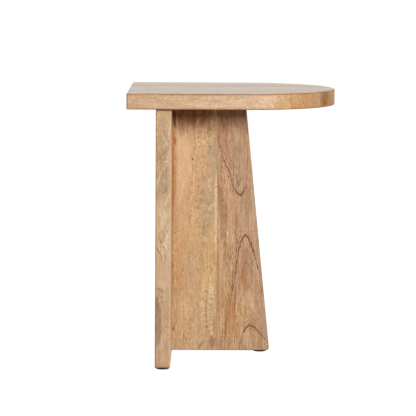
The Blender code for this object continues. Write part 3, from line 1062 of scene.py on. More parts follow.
CENTRE_PALE_MARKS = (
    on_centre_front("ember", 0.365, -0.1135, 0.125, 0.0070, 0.65, 0.6),
    # Painted shade just under the top: a wide orange brown band
    on_centre_front("ember", 0.462, -0.0850, 0.026, 0.0320, 0.45, 0.6),
    # Painted shade: a dark line in the corner where the centre panel meets the end panel
    on_centre_front("ring_brown", 0.260, -0.1155, 0.220, 0.0024, 0.55, 0.5),
    on_centre_front("bronze", 0.180, -0.1080, 0.150, 0.0110, 0.55, 0.6),
    on_centre_front("rust", 0.418, -0.1118, 0.0120, 0.0030, 0.95, 0.3),
    # The ring brown and dark heartwood marks from here to the wide ring brown mark lie just under the top:
    # painted shade, partly the board's own dark streaks. The cream streak among them is the wood's own.
    on_centre_front("ring_brown", 0.460, -0.1120, 0.024, 0.0045, 0.75, 0.5),
    on_centre_front("ring_brown", 0.457, -0.0570, 0.018, 0.0060, 0.40, 0.7),
    on_centre_front("cream", 0.410, -0.0975, 0.045, 0.0026, 0.55),
    on_centre_front("rosewood", 0.462, -0.0990, 0.050, 0.0080, 0.80, 0.6),
    on_centre_front("rosewood", 0.467, -0.0740, 0.036, 0.0055, 0.80, 0.7),
    on_centre_front("rosewood", 0.470, -0.0480, 0.040, 0.0150, 0.60, 0.7),
    on_centre_front("ring_brown", 0.472, -0.0800, 0.026, 0.0450, 0.40, 0.7),
    on_centre_front("salmon", 0.370, -0.0970, 0.075, 0.0110, 0.90),
    on_centre_front("blush", 0.300, -0.0930, 0.100, 0.0160, 0.50),
    on_centre_front("straw", 0.380, -0.0910, 0.055, 0.0200, 0.75, 0.6),
    on_centre_front("sage", 0.290, -0.0490, 0.080, 0.0200, 0.75, 0.8),
    on_centre_front("sage", 0.172, -0.0780, 0.045, 0.0130, 0.45, 0.8),
    on_centre_front("cream", 0.336, -0.0420, 0.020, 0.0100, 0.35, 0.9, -0.4),
    on_centre_front("cream", 0.290, -0.0400, 0.018, 0.0050, 0.55, 0.7, -0.5),
    on_centre_front("tan", 0.350, -0.0560, 0.020, 0.0060, 0.60, 0.7, -0.6),
    on_centre_front("tan", 0.310, -0.0600, 0.030, 0.0045, 0.60, 0.7, -0.5),
    on_centre_front("sage", 0.382, -0.0350, 0.070, 0.0160, 0.90, 0.6),
    on_centre_front("cream", 0.300, -0.0300, 0.060, 0.0030, 0.60, 0.3),
    on_centre_front("cream", 0.275, -0.0300, 0.110, 0.0045, 0.90, 0.2),
    on_centre_front("gold", 0.165, -0.0370, 0.100, 0.0085, 0.75, 0.6),
    on_centre_front("gold", 0.150, -0.0500, 0.080, 0.0045, 0.60, 0.6),
    on_centre_front("cream", 0.085, -0.0400, 0.070, 0.0080, 0.60, 0.6),
    on_centre_front("straw", 0.100, -0.0560, 0.080, 0.0030, 0.80, 0.7),
    on_centre_front("straw", 0.060, -0.0730, 0.060, 0.0240, 0.40, 0.9),
    on_centre_front("tan", 0.080, -0.0630, 0.080, 0.0025, 0.70, 0.7),
    on_centre_front("rosewood", 0.090, -0.0485, 0.060, 0.0015, 0.45, 0.7),
    on_centre_front("cream", 0.2250, -0.0540, 0.0080, 0.0050, 0.70, 0.7, 0.5),
    on_centre_front("cream", 0.4150, -0.0540, 0.0080, 0.0060, 0.60, 0.7, 0.5),
    on_centre_front("rosewood", 0.0200, -0.0380, 0.0130, 0.0080, 0.85, 0.6),
    on_centre_front("rosewood", 0.0130, -0.0590, 0.0120, 0.0050, 0.85, 0.6, -0.5),
    on_centre_front("pore_brown", 0.3816, -0.0763, 0.0028, 0.0024, 0.98, 0.2),
    on_centre_front("ring_brown", 0.1910, -0.1145, 0.0030, 0.0013, 0.95, 0.3),
    on_centre_front("ring_brown", 0.1710, -0.1145, 0.0030, 0.0013, 0.80, 0.3),
    on_centre_front("ring_brown", 0.0460, -0.1140, 0.0050, 0.0016, 0.95, 0.3),
)

CENTRE_PALE_RIPPLES = (
    Ripple((0.085, -0.045, CENTRE_FRONT), (0.085, 0.024, SKIN_DEPTH), 0.0055, 0.70),
    Ripple((0.060, -0.085, CENTRE_FRONT), (0.060, 0.025, SKIN_DEPTH), 0.0060, 0.35),
    Ripple((0.420, -0.050, CENTRE_FRONT), (0.040, 0.022, SKIN_DEPTH), 0.0060, 0.70),
)

CENTRE_PALE_CURLS = (
    Curl((0.290, -0.046, CENTRE_FRONT), (0.085, 0.030, SKIN_DEPTH), 0.050),
    Curl((0.415, -0.050, CENTRE_FRONT), (0.040, 0.026, SKIN_DEPTH), 0.030),
    Curl((0.130, -0.080, CENTRE_FRONT), (0.090, 0.030, SKIN_DEPTH), 0.014),
)

CENTRE_PALE_CALMS = (
    Calm((0.340, -0.098, CENTRE_FRONT), (0.150, 0.022, SKIN_DEPTH), 0.45),
)

HEART_MARKS = (
    on_centre_front("straw", 0.338, -0.0080, 0.048, 0.0080, 0.65, 0.7, 0.3),
    on_centre_front("sage", 0.368, -0.0245, 0.035, 0.0050, 0.75, 0.7),
    on_centre_front("sage", 0.385, 0.0120, 0.085, 0.0180, 0.55, 0.7),
    on_centre_front("rosewood", 0.292, -0.0165, 0.050, 0.0090, 0.60, 0.7, 0.15),
    on_centre_front("rosewood", 0.130, -0.0262, 0.120, 0.0042, 0.50, 0.6),
    on_centre_front("sage", 0.285, 0.0250, 0.060, 0.0150, 0.60, 0.7),
    on_centre_front("sage", 0.330, 0.0390, 0.150, 0.0060, 0.80, 0.5, 0.1),
    on_centre_front("sage", 0.180, 0.0560, 0.100, 0.0080, 0.60, 0.6, 0.1),
    on_centre_front("sage", 0.060, 0.0640, 0.050, 0.0090, 0.70, 0.6, 0.1),
    on_centre_front("straw", 0.205, 0.0010, 0.055, 0.0090, 0.60, 0.7),
    on_centre_front("rosewood", 0.160, 0.0300, 0.050, 0.0110, 0.50, 0.6),
    on_centre_front("ember", 0.160, 0.0230, 0.040, 0.0100, 0.25, 0.7),
    on_centre_front("honey", 0.110, -0.0110, 0.070, 0.0110, 0.95, 0.7),
    on_centre_front("honey", 0.060, -0.0150, 0.080, 0.0060, 0.50, 0.7),
    on_centre_front("honey", 0.090, 0.0340, 0.050, 0.0120, 0.80, 0.6),
    on_centre_front("straw", 0.098, 0.0400, 0.026, 0.0075, 0.40, 0.6, 0.25),
    on_centre_front("ember", 0.135, 0.0280, 0.014, 0.0060, 0.45, 0.6),
    on_centre_front("honey", 0.055, 0.0080, 0.075, 0.0330, 0.90, 0.5),
    on_centre_front("blush", 0.045, 0.0050, 0.070, 0.0360, 0.60, 0.6),
    on_centre_front("ember", 0.050, 0.0000, 0.080, 0.0160, 0.42, 0.7),
    on_centre_front("tan", 0.390, 0.0310, 0.045, 0.0050, 0.80, 0.5, 0.1),
)

HEART_CALMS = (Calm((0.150, 0.030, CENTRE_FRONT), (0.070, 0.014, SKIN_DEPTH), 0.45),)

CENTRE_LOOKS = {
    "centre_panel_board_1": Look(
        seed=21.4,
        pale="honey",
        dark="tan",
        patch="blush",
        vein="straw",
        pith_across=-0.09,
        speckle=0.40,
        threads=0.65,
        marks=CENTRE_PALE_MARKS,
        ripples=CENTRE_PALE_RIPPLES,
        curls=CENTRE_PALE_CURLS,
        calms=CENTRE_PALE_CALMS,
        low_arris="ember",
    ),
    "centre_panel_board_2": Look(
        seed=22.9,
        pale="heartwood",
        dark="rosewood",
        patch="tan",
        vein="straw",
        ring_strength=0.40,
        speckle=0.55,
        threads=1.0,
        marks=HEART_MARKS,
        calms=HEART_CALMS,
    ),
}


class Grain(NamedTuple):
    """One noise of a material: how long its clumps are along the grain, how wide across it, and its seed."""

    along: float
    across: float
    seed: float
    detail: float = 2.0
    roughness: float = 0.5


# Noises of the wood, from the sway of the whole tree down to its pores
SWAY = Grain(0.50, 0.50, 0.9, 1.0)
WANDER = Grain(0.13, 0.040, 0.0)
PATCH = Grain(0.110, 0.034, 3.7)
LIVELINESS = Grain(0.090, 0.030, 12.4)
CLOUD = Grain(0.050, 0.018, 4.9, 3.0)
STREAK = Grain(0.120, 0.0050, 1.3, 3.0, 0.6)
VEIN = Grain(0.080, 0.0030, 1.9, 2.0, 0.6)
THREAD = Grain(0.045, 0.0020, 2.6, 2.0, 0.6)
EDGE_WEAR_AND_SHADE = Grain(0.030, 0.010, 10.3)
EDGE_SHADE = Grain(0.030, 0.010, 13.6)
SWIRL = Grain(0.024, 0.014, 0.7)
WAVER = Grain(0.022, 0.007, 0.4)
PORE_CROWD = Grain(0.020, 0.008, 7.9)
FINE_STREAK = Grain(0.014, 0.0011, 2.1, 2.0, 0.6)
FIBRE = Grain(0.0120, 0.0006, 6.6, 1.0)
RING_BREAK = Grain(0.010, 0.003, 8.2)
TEAR = Grain(0.007, 0.003, 0.6, 1.0)
SPECKLE = Grain(0.0050, 0.0014, 5.2, 2.0, 0.6)
PORE = Grain(0.0042, 0.0008, 7.4, 2.0, 0.7)

# Noises of the dowels and of the felt
DOWEL_FIBRE = Grain(0.004, 0.0007, 31.0, 3.0)
DOWEL_CLOUD = Grain(0.030, 0.006, 32.0)
DOWEL_FLECK = Grain(0.0020, 0.0006, 33.0, 1.0)
FELT_DRIFT = Grain(0.0016, 0.0016, 41.0)
FELT_WEFT = Grain(0.0011, 0.00018, 42.0)
FELT_WARP = Grain(0.00018, 0.0011, 43.0)

# How far one seed moves a noise along X, Y and Z, and where the seeds of marks and the like start
SEED_STEPS = (7.31, 3.17, 5.71)
MARK_SEED = 11.0
CURL_SEED = 30.0
CALM_SEED = 50.0
RIPPLE_SEED = 9.1

# Where a noise or a share starts to count, and where it counts in full
PATCH_RISE = (0.42, 0.62)
VEIN_RISE = (0.50, 0.68)
PORE_RISE = (0.62, 0.80)
LATE_WOOD_RISE = (0.45, 0.96)
LATE_WOOD_END = (0.97, 1.0)
LIVELINESS_RISE = (0.38, 0.62)
RING_BREAK_RISE = (0.34, 0.56)
EDGE_SHADE_RISE = (0.35, 0.65)
SPOT_RISE = (0.45, 1.05)
TEAR_RISE = (0.004, 0.014)
FLAT_RISE = (0.5, 0.9)
LEVEL_RISE = (0.90, 0.99)
ARRIS_RISE = (0.12, 0.45)
END_GRAIN_RISE = (0.55, 0.9)
DOWEL_FLECK_RISE = (0.62, 0.70)

# How far the grain wanders and the rings waver and tear, in metres, and how much of that the heart takes. It
# tears more at its sides. A board's arching times the last number is how far its rings sway.
BOARD_WANDER = 0.009
HEART_WANDER = 0.003
WAVER_DEPTH = 0.0028
TEAR_DEPTH = 0.0010
HEART_WAVER = 0.4
HEART_TEAR = 0.7
HEART_SIDE_TEAR = 1.6
SWAY_THROW = 6.0

# Length of a ripple along the grain and its width across it, as shares of the spacing of the ripples
RIPPLE_LENGTH = 0.6
RIPPLE_WIDTH = 2.2

# How closely the fine figure follows the width of a board and its rings, for plain boards and for the heart
BOARD_FOLLOW = (0.4, 1.0)
HEART_FOLLOW = (1.0, 0.35)

# How strongly each part of the figure shows
RING_TONE_SHARE = 0.55
LATE_WOOD_SHARE = 0.45
STREAK_SPREAD = 2.2
DARK_START = 0.2
VEIN_SHARE = 0.6
PORE_CROWDING = 0.10
RING_LEAST = 0.60
RING_SPREAD = 0.60
RING_ROUND_EDGE = 0.15
LIVELY_LEAST = 0.70
LIVELY_SPREAD = 0.50
SPECKLE_DEPTH = 1.5
FINE_STREAK_DEPTH = 0.4
FINE_STREAK_THREADS = 0.5
PORE_DEPTH = 0.30
CLOUD_DEPTH = 0.35
LIGHTENING = 0.025
EDGE_WEAR_AND_SHADE_LEAST = 0.25
EDGE_WEAR_AND_SHADE_SPREAD = 0.9
END_GRAIN_SHARE = 0.6

# How much duller speckle, pores and end grain are, how far each part of the figure stands out of the surface
# or sinks into it, and the strength and the depth in metres of the relief
SPECKLE_ROUGHNESS = 0.16
PORE_ROUGHNESS = 0.12
END_GRAIN_ROUGHNESS = 0.15
FIBRE_RELIEF = 0.35
PORE_RELIEF = 0.8
CLOUD_RELIEF = 0.6
WOOD_BUMP = (0.25, 0.0003)

# The dowels' tone and how much each noise changes it, their roughness and their relief
DOWEL_TONE = 0.94
DOWEL_FIBRE_DEPTH = 0.30
DOWEL_CLOUD_DEPTH = 0.25
DOWEL_FLECK_DEPTH = 0.22
DOWEL_ROUGHNESS = 0.58
DOWEL_ROUGHNESS_SPREAD = 0.2
DOWEL_BUMP = (0.4, 0.0002)

# The felt's tone, how far its fibres drift, its roughness, gloss and sheen, and its relief
FELT_TONE = 0.55
FELT_TONE_SPREAD = 0.95
FELT_DRIFT_REACH = 0.002
FELT_DRIFT_RELIEF = 0.5
FELT_ROUGHNESS = 0.95
FELT_ROUGHNESS_DROP = 0.1
FELT_GLOSS = 0.2
FELT_SHEEN = 0.25
FELT_BUMP = (0.8, 0.0003)


def grained(tree, place, grain, seed=0.0):
    """Noise from 0 to 1, drawn out along the grain."""
    stretched = tree.vector("MULTIPLY", place, (1 / grain.along, 1 / grain.across, 1 / grain.across))
    total = seed + grain.seed
    moved = tree.vector("ADD", stretched, tuple(total * step for step in SEED_STEPS))
    inputs = {"Vector": moved, "Scale": 1.0, "Detail": grain.detail, "Roughness": grain.roughness}
    return tree.add("ShaderNodeTexNoise", {"noise_dimensions": "3D"}, inputs, "Fac")


def along_heart(tree, height, points):
    """Reads a line of the heart at each height. A Float Curve stores it as shares of its span and reach."""
    shares = [(level / HEART_HEIGHT, value / HEART_REACH) for level, value in points]
    reading = tree.add("ShaderNodeFloatCurve", {"points": shares}, {"Value": height / HEART_HEIGHT})
    return reading * HEART_REACH


def spot(tree, place, mark, seed, ragged=0.5, lean=0.0):
    """A mask that is 1 inside a patch and fades raggedly at its edge."""
    offset = tree.vector("SUBTRACT", place, mark.middle)
    if lean:
        dot = {"operation": "DOT_PRODUCT"}
        length = tree.add("ShaderNodeVectorMath", dot, {0: offset, 1: (1.0, 0.0, 0.0)}, "Value")
        aside = tree.scaled((0, lean, lean), length)
        offset = tree.vector("ADD", offset, aside)
    shares = tree.vector("DIVIDE", offset, mark.reach)
    distance = tree.length(shares)
    clump = Grain(mark.reach[0] / 2, min(mark.reach[1:]) / 2, 0.0)
    frayed = (grained(tree, place, clump, seed) - 0.5) * ragged * 2.0
    return 1.0 - tree.rise(distance + frayed, *SPOT_RISE)


def ripple_tone(tree, place, ripple, seed):
    """Light and dark bands across the grain that shade in and out with their stretch of the board."""
    mask = spot(tree, place, ripple, seed)
    band = Grain(ripple.spacing * RIPPLE_LENGTH, ripple.spacing * RIPPLE_WIDTH, RIPPLE_SEED, 1.0)
    return (grained(tree, place, band, seed) - 0.5) * mask * ripple.depth


class Space(NamedTuple):
    """The wires of one board that say where each point lies in the wood and how the surface faces there."""

    place: Wire
    height: Wire
    across: Wire
    through: Wire
    along_part: Wire
    through_part: Wire
    flat_part: Wire


def wood_space(tree, rows):
    """Turns Object coordinates and normals into the wood's own directions."""
    turn = Matrix(rows).to_euler()
    coordinates = tree.add("ShaderNodeTexCoord", None, None, "Object")
    place = tree.add("ShaderNodeMapping", {"vector_type": "POINT"}, {"Vector": coordinates, "Rotation": turn})
    height, across, through = tree.parted(place)
    normal = tree.add("ShaderNodeTexCoord", None, None, "Normal")
    facing = tree.add("ShaderNodeMapping", {"vector_type": "VECTOR"}, {"Vector": normal, "Rotation": turn})
    along_part, _, through_part = tree.parted(facing)
    return Space(place, height, across, through, along_part, through_part, abs(through_part))


def bent_across(tree, look, heart, wood):
    """How far across the board each point lies once the grain has wandered and swirled."""
    wander = (grained(tree, wood.place, WANDER, look.seed) - 0.5) * (HEART_WANDER if heart else BOARD_WANDER)
    for number, curl in enumerate(look.curls):
        swirl = grained(tree, wood.place, SWIRL, look.seed) - 0.5
        mask = spot(tree, wood.place, curl, look.seed + CURL_SEED + number)
        wander = wander + swirl * mask * curl.throw
    return wood.across + wander


def ring_radius(tree, look, heart, wood, bent):
    """How far each point of the board lies from the tree's pith."""
    waver = (grained(tree, wood.place, WAVER, look.seed) - 0.5) * WAVER_DEPTH
    torn = (grained(tree, wood.place, TEAR, look.seed) - 0.5) * TEAR_DEPTH
    if heart:
        side = bent - along_heart(tree, wood.height, heart.across)
        depth = along_heart(tree, wood.height, heart.depth) - (wood.through - CENTRE_FRONT)
        pointed = side * side + abs(side) * depth * (2 * HEART_POINT)
        torn = torn * (HEART_TEAR + tree.rise(abs(side), *TEAR_RISE) * HEART_SIDE_TEAR)
        return tree.maths("SQRT", pointed + depth * depth) + waver * HEART_WAVER + torn
    sway = (grained(tree, wood.place, SWAY, look.seed) - 0.5) * look.arching * SWAY_THROW
    side = bent - look.pith_across
    depth = wood.through - look.pith_through + sway
    return tree.maths("SQRT", side * side + depth * depth) + waver + torn


def ring_darkness(tree, look, radius):
    """How dark each growth ring is: its own tone, and the late wood that ends it."""
    count = radius / look.ring_spacing
    ring = tree.maths("FLOOR", count)
    ring_part = count - ring
    chance = {"noise_dimensions": "1D"}
    tone = tree.add("ShaderNodeTexWhiteNoise", chance, {"W": ring + look.seed}, "Value")
    late_wood = tree.rise(ring_part, *LATE_WOOD_RISE) * (1.0 - tree.rise(ring_part, *LATE_WOOD_END))
    return tone * RING_TONE_SHARE + late_wood * LATE_WOOD_SHARE


class Figure(NamedTuple):
    """The noises of one board, each from 0 to 1."""

    streak: Wire
    vein: Wire
    thread: Wire
    fine_streak: Wire
    patch: Wire
    cloud: Wire
    speckle: Wire
    fibre: Wire
    pores: Wire


def wood_figure(tree, seed, place, shifted, followed):
    """Streaks, patches, speckle and pores. Fine streaks, speckle and pores follow the rings."""
    streak = grained(tree, shifted, STREAK, seed)
    vein = grained(tree, shifted, VEIN, seed)
    thread = grained(tree, shifted, THREAD, seed)
    fine_streak = grained(tree, followed, FINE_STREAK, seed)
    patch = grained(tree, place, PATCH, seed)
    cloud = grained(tree, place, CLOUD, seed)
    speckle = grained(tree, followed, SPECKLE, seed)
    fibre = grained(tree, place, FIBRE, seed)
    crowd = grained(tree, place, PORE_CROWD, seed) * PORE_CROWDING
    pores = tree.rise(grained(tree, followed, PORE, seed) + crowd, *PORE_RISE)
    return Figure(streak, vein, thread, fine_streak, patch, cloud, speckle, fibre, pores)


def plain_colour(tree, look, colours, figure, rings):
    """The colour of a board before its marks: pale wood and patches, dark rings and streaks, and veins."""
    share = rings * look.ring_strength
    share = share + (figure.streak - 0.5) * look.streak_strength * STREAK_SPREAD + DARK_START
    share = tree.maths("MINIMUM", tree.maths("MAXIMUM", share, 0.0), 1.0)
    names = (look.pale, look.dark, look.patch, look.vein)
    pale, dark, patch, vein = (getattr(colours, name)[:] for name in names)
    colour = tree.mix(tree.rise(figure.patch, *PATCH_RISE) * look.patch_share, pale, patch)
    colour = tree.mix(share, colour, dark)
    return tree.mix(tree.rise(figure.vein, *VEIN_RISE) * VEIN_SHARE, colour, vein)


def with_dark_rings(tree, colour, colours, seed, heart, wood, radius):
    """Draws the heart's dark rings, which weaken here and there and are fainter right of the pith."""
    broken = tree.rise(grained(tree, wood.place, RING_BREAK, seed), *RING_BREAK_RISE)
    strength = RING_LEAST + broken * RING_SPREAD
    strength = strength * (RING_ROUND_EDGE + tree.rise(wood.flat_part, *FLAT_RISE) * (1 - RING_ROUND_EDGE))
    right = tree.maths("GREATER_THAN", wood.across, along_heart(tree, wood.height, heart.across))
    beside = tree.rise(abs(wood.height - SADDLE), *SADDLE_FADE)
    shut = SADDLE_SHARE + beside * (1 - SADDLE_SHARE)
    for ring in heart.rings:
        if ring.radius > SADDLE_RADIUS:
            shown = (1.0 - right * RIGHT_FADE) * strength * shut * ring.share
        else:
            faded = right * tree.rise(wood.height, *U_FADE) * U_RIGHT_FADE
            shown = (1.0 - faded) * strength * ring.share
        line = tree.line(radius, ring.radius, ring.half_width)
        colour = tree.mix(line * shown, colour, colours.ring_brown[:])
    return colour


def figure_change(tree, look, wood, figure):
    """How much paler or deeper the fine figure makes each point, less so where the board is calm."""
    lively = tree.rise(grained(tree, wood.place, LIVELINESS, look.seed), *LIVELINESS_RISE)
    lively = LIVELY_LEAST + lively * LIVELY_SPREAD
    for number, calm in enumerate(look.calms):
        mask = spot(tree, wood.place, calm, look.seed + CALM_SEED + number)
        lively = lively * (1.0 - mask * calm.share)
    change = (figure.speckle - 0.5) * (SPECKLE_DEPTH * look.speckle)
    fine = FINE_STREAK_DEPTH + FINE_STREAK_THREADS * look.threads
    change = change + (figure.fine_streak - 0.5) * fine
    change = (change + (figure.thread - 0.5) * look.threads - figure.pores * PORE_DEPTH) * lively
    change = change + (figure.cloud - 0.5) * CLOUD_DEPTH + LIGHTENING
    for ripple in look.ripples:
        change = change + ripple_tone(tree, wood.place, ripple, look.seed)
    return change


def with_painted_edge_shade_and_sheen(tree, colour, colours, seed, wood, lacquered):
    """Paints edge shade on the rim along the top's edges, and a cool painted sheen on its upper face."""
    darkened = tree.rise(abs(wood.through - TOP_MIDDLE), *EDGE_SHADE_REACH) * (1.0 - wood.flat_part)
    uneven = tree.rise(grained(tree, wood.place, EDGE_SHADE, seed), *EDGE_SHADE_RISE)
    darkened = darkened * (EDGE_SHADE_LEAST + uneven * EDGE_SHADE_SPREAD)
    colour = tree.mix(darkened, colour, colours.ember[:])
    # Painted sheen: the upper face of the top is tinted cooler and greyer
    return tree.mix(lacquered, colour, tree.mix(1.0, colour, colours.top_painted_sheen[:], "MULTIPLY"))


def with_edges(tree, colour, colours, look, wood, span):
    """Makes the rounded edges paler or darker, the top's with painted edge shade, and draws a thin line of
    glue at each joint.
    """
    side_part = tree.maths("SQRT", tree.maths("MAXIMUM", 1.0 - wood.flat_part * wood.flat_part, 0.0))
    arris = tree.rise(tree.maths("MINIMUM", wood.flat_part, side_part), *ARRIS_RISE)
    wear_and_edge_shade = EDGE_WEAR_AND_SHADE_LEAST + grained(tree, wood.place, EDGE_WEAR_AND_SHADE, look.seed) * EDGE_WEAR_AND_SHADE_SPREAD
    low_colour, high_colour = getattr(colours, look.low_arris)[:], getattr(colours, look.high_arris)[:]
    arris_colour = tree.mix(tree.maths("GREATER_THAN", wood.through_part, 0.0), low_colour, high_colour)
    colour = tree.mix(arris * wear_and_edge_shade, colour, arris_colour)
    low_edge, high_edge = span
    to_edge = tree.maths("MINIMUM", wood.across - low_edge, high_edge - wood.across)
    glue = 1.0 - tree.rise(to_edge, GLUE_LINE * GLUE_SOLID, GLUE_LINE)
    return tree.mix(glue * GLUE_SHARE, colour, colours.ring_brown[:])


def wood_material(node, look, rows, span, colours):
    """Oiled solid wood, cut from a tree whose pith lies behind the board."""
    material = bpy.data.materials.new(f"{node}_grain")
    tree = empty_tree(material)
    wood = wood_space(tree, rows)
    heart = HEART if node == HEART_BOARD else None
    bent = bent_across(tree, look, heart, wood)
    radius = ring_radius(tree, look, heart, wood, bent)
    spread, follow = HEART_FOLLOW if heart else BOARD_FOLLOW
    beside_rings = {"X": wood.height, "Y": bent * spread, "Z": radius * follow}
    followed = tree.add("ShaderNodeCombineXYZ", None, beside_rings)
    shifted = tree.add("ShaderNodeCombineXYZ", None, {"X": wood.height, "Y": bent, "Z": wood.through})
    rings = ring_darkness(tree, look, radius)
    figure = wood_figure(tree, look.seed, wood.place, shifted, followed)
    colour = plain_colour(tree, look, colours, figure, rings)
    if heart:
        inside = (1.0 - tree.rise(radius, *U_RADII)) * tree.rise(wood.height, *U_FOOT)
        colour = tree.mix(inside * U_SHARE, colour, colours.rosewood[:])
    for number, mark in enumerate(look.marks):
        mask = spot(tree, wood.place, mark, look.seed + MARK_SEED + number, mark.ragged, mark.lean)
        colour = tree.mix(mask * mark.share, colour, getattr(colours, mark.colour)[:])
    if heart:
        colour = with_dark_rings(tree, colour, colours, look.seed, heart, wood, radius)
    colour = tree.shaded(colour, figure_change(tree, look, wood, figure))
    lacquered = tree.rise(wood.through_part, *LEVEL_RISE)
    # The top's rim gets painted edge shade and its upper face a painted sheen
    if rows == ALONG_TABLE:
        colour = with_painted_edge_shade_and_sheen(tree, colour, colours, look.seed, wood, lacquered)
    colour = with_edges(tree, colour, colours, look, wood, span)

    # End grain soaks up more oil, and is darker
    end_grain = tree.rise(abs(wood.along_part), *END_GRAIN_RISE)
    darkened = end_grain * END_GRAIN_SHARE
    colour = tree.mix(darkened, colour, tree.mix(1.0, colour, colours.end_tint[:], "MULTIPLY"))

    # Speckle, pores and end grain are duller, and pores and fibres stand out of the surface
    roughness = THIN_ROUGHNESS + (figure.speckle - 0.5) * SPECKLE_ROUGHNESS
    roughness = roughness + figure.pores * PORE_ROUGHNESS + end_grain * END_GRAIN_ROUGHNESS
    height = figure.fibre * FIBRE_RELIEF + figure.fine_streak * FIBRE_RELIEF
    height = height - figure.pores * PORE_RELIEF + figure.cloud * CLOUD_RELIEF
    inputs = {
        "Base Color": colour,
        "Roughness": roughness,
        "Normal": tree.bump(height, *WOOD_BUMP),
        "Specular IOR Level": THIN_GLOSS,
        "Coat Weight": lacquered * THICK_COAT[rows],
        "Coat Roughness": THICK_ROUGHNESS,
    }
    tree.end_material(tree.add("ShaderNodeBsdfPrincipled", None, inputs))
    return material


def dowel_material(colours):
    """Plain turned hardwood with short dark flecks."""
    material = bpy.data.materials.new("dowel_hardwood")
    tree = empty_tree(material)
    place = tree.add("ShaderNodeTexCoord", None, None, "Object")
    fibre = grained(tree, place, DOWEL_FIBRE)
    cloud = grained(tree, place, DOWEL_CLOUD)
    fleck = tree.rise(grained(tree, place, DOWEL_FLECK), *DOWEL_FLECK_RISE)
    tone = DOWEL_TONE + (fibre - 0.5) * DOWEL_FIBRE_DEPTH + (cloud - 0.5) * DOWEL_CLOUD_DEPTH
    tone = tone - fleck * DOWEL_FLECK_DEPTH
    colour = tree.scaled(colours.dowel[:], tone)
    bump = tree.bump(fibre - fleck, *DOWEL_BUMP)
    roughness = DOWEL_ROUGHNESS + (fibre - 0.5) * DOWEL_ROUGHNESS_SPREAD
    inputs = {"Base Color": colour, "Roughness": roughness, "Normal": bump}
    tree.end_material(tree.add("ShaderNodeBsdfPrincipled", None, inputs))
    return material


def felt_material(colours):
    """Dense felt: short matted fibres that catch a little light."""
    material = bpy.data.materials.new("foot_felt")
    tree = empty_tree(material)
    place = tree.add("ShaderNodeTexCoord", None, None, "Object")
    drift = grained(tree, place, FELT_DRIFT)
    shift = {"X": drift * FELT_DRIFT_REACH, "Y": drift * FELT_DRIFT_REACH}
    aside = tree.add("ShaderNodeCombineXYZ", None, shift)
    bent = tree.vector("ADD", place, aside)
    fibre = tree.maths("MAXIMUM", grained(tree, bent, FELT_WEFT), grained(tree, bent, FELT_WARP))
    tone = FELT_TONE + fibre * FELT_TONE_SPREAD
    bump = tree.bump(fibre + drift * FELT_DRIFT_RELIEF, *FELT_BUMP)
    inputs = {
        "Base Color": tree.scaled(colours.felt[:], tone),
        "Roughness": FELT_ROUGHNESS - fibre * FELT_ROUGHNESS_DROP,
        "Normal": bump,
        "Specular IOR Level": FELT_GLOSS,
        "Sheen Weight": FELT_SHEEN,
    }
    tree.end_material(tree.add("ShaderNodeBsdfPrincipled", None, inputs))
    return material


# How finely a felt pad is divided, and how fast its fuzz changes with each metre over a pad and between pads
PAD_SIDES = 96
PAD_RINGS = 8
PAD_EDGE_STEPS = 4
FUZZ_PER_METRE = 900
FUZZ_SHIFT_PER_METRE = 50


def pad_section(radius, thickness, edge):
    """Half the section of a pad, from the middle of its underside round its edge to the middle of its top."""
    flat = radius - edge
    inside = [flat * ring / PAD_RINGS for ring in range(PAD_RINGS)]
    section = [(out, 0.0) for out in inside]
    for middle, first in ((edge, -90), (thickness - edge, 0)):
        for step in range(PAD_EDGE_STEPS + 1):
            turn = math.radians(first + 90 * step / PAD_EDGE_STEPS)
            section.append((flat + edge * math.cos(turn), middle + edge * math.sin(turn)))
    return section + [(out, thickness) for out in reversed(inside)]


def pad_mesh(node, sizes):
    """A felt disc: its section is turned about its axis, and its fuzz moves each point a little."""
    low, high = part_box(node)
    centre = (low + high) / 2
    radius = (high.x - low.x) / 2 - sizes.pad_fuzz
    section = pad_section(radius, high.z - low.z, sizes.pad_edge_radius)
    shape = bmesh.new()
    points = [shape.verts.new((out, 0, up)) for out, up in section]
    edges = [shape.edges.new(pair) for pair in zip(points, points[1:])]
    turned = {"axis": (0, 0, 1), "cent": (0, 0, 0), "steps": PAD_SIDES, "angle": math.tau}
    bmesh.ops.spin(shape, geom=points + edges, use_merge=True, **turned)
    bmesh.ops.remove_doubles(shape, verts=shape.verts, dist=WELD_DISTANCE)
    bmesh.ops.recalc_face_normals(shape, faces=shape.faces)
    for vertex in shape.verts:
        fuzz = noise.noise(vertex.co * FUZZ_PER_METRE + centre * FUZZ_SHIFT_PER_METRE)
        share = fuzz * min(1.0, vertex.co.xy.length / radius)
        outward = Vector((vertex.co.x, vertex.co.y, 0)).normalized()
        vertex.co += outward * share * sizes.pad_fuzz
    bmesh.ops.translate(shape, vec=(centre.x, centre.y, low.z), verts=shape.verts)
    return mesh_of(shape, node)


class SIDETABLE_OT_top(Operator):
    """Builds the seven boards of the top"""

    bl_idname = "side_table.top"
    bl_label = "Top Boards"

    def execute(self, context):
        sizes = context.scene.side_table.sizes
        low, high = box_of(TOP_BOARDS)
        half_depth = (high.y - low.y) / 2
        bend = high.x - half_depth
        turns = [math.pi * (step / sizes.round_end_steps - 0.5) for step in range(sizes.round_end_steps + 1)]
        points = [Vector((bend + half_depth * math.cos(turn), half_depth * math.sin(turn))) for turn in turns]
        rear, front = Vector((low.x, high.y)), Vector((low.x, low.y))
        radius, steps = sizes.top_corner_radius, sizes.corner_steps
        corners = fillet(points[-1], rear, front, radius, steps)
        corners += fillet(rear, front, points[0], radius, steps)
        middle = (low.z + high.z) / 2
        outline = outline_object("top_outline", points + corners, Matrix.Translation((0, 0, middle)))
        spans = board_spans(TOP_BOARDS, Y_AXIS)
        saws = [((-SAW_REACH, start, -SAW_REACH), (SAW_REACH, end, SAW_REACH)) for start, end in spans]
        radius = sizes.top_edge_radius
        add_boards(TOP_BOARDS, outline, saws, spans, high.z - low.z, radius, TOP_LOOKS, ALONG_TABLE)
        return {"FINISHED"}


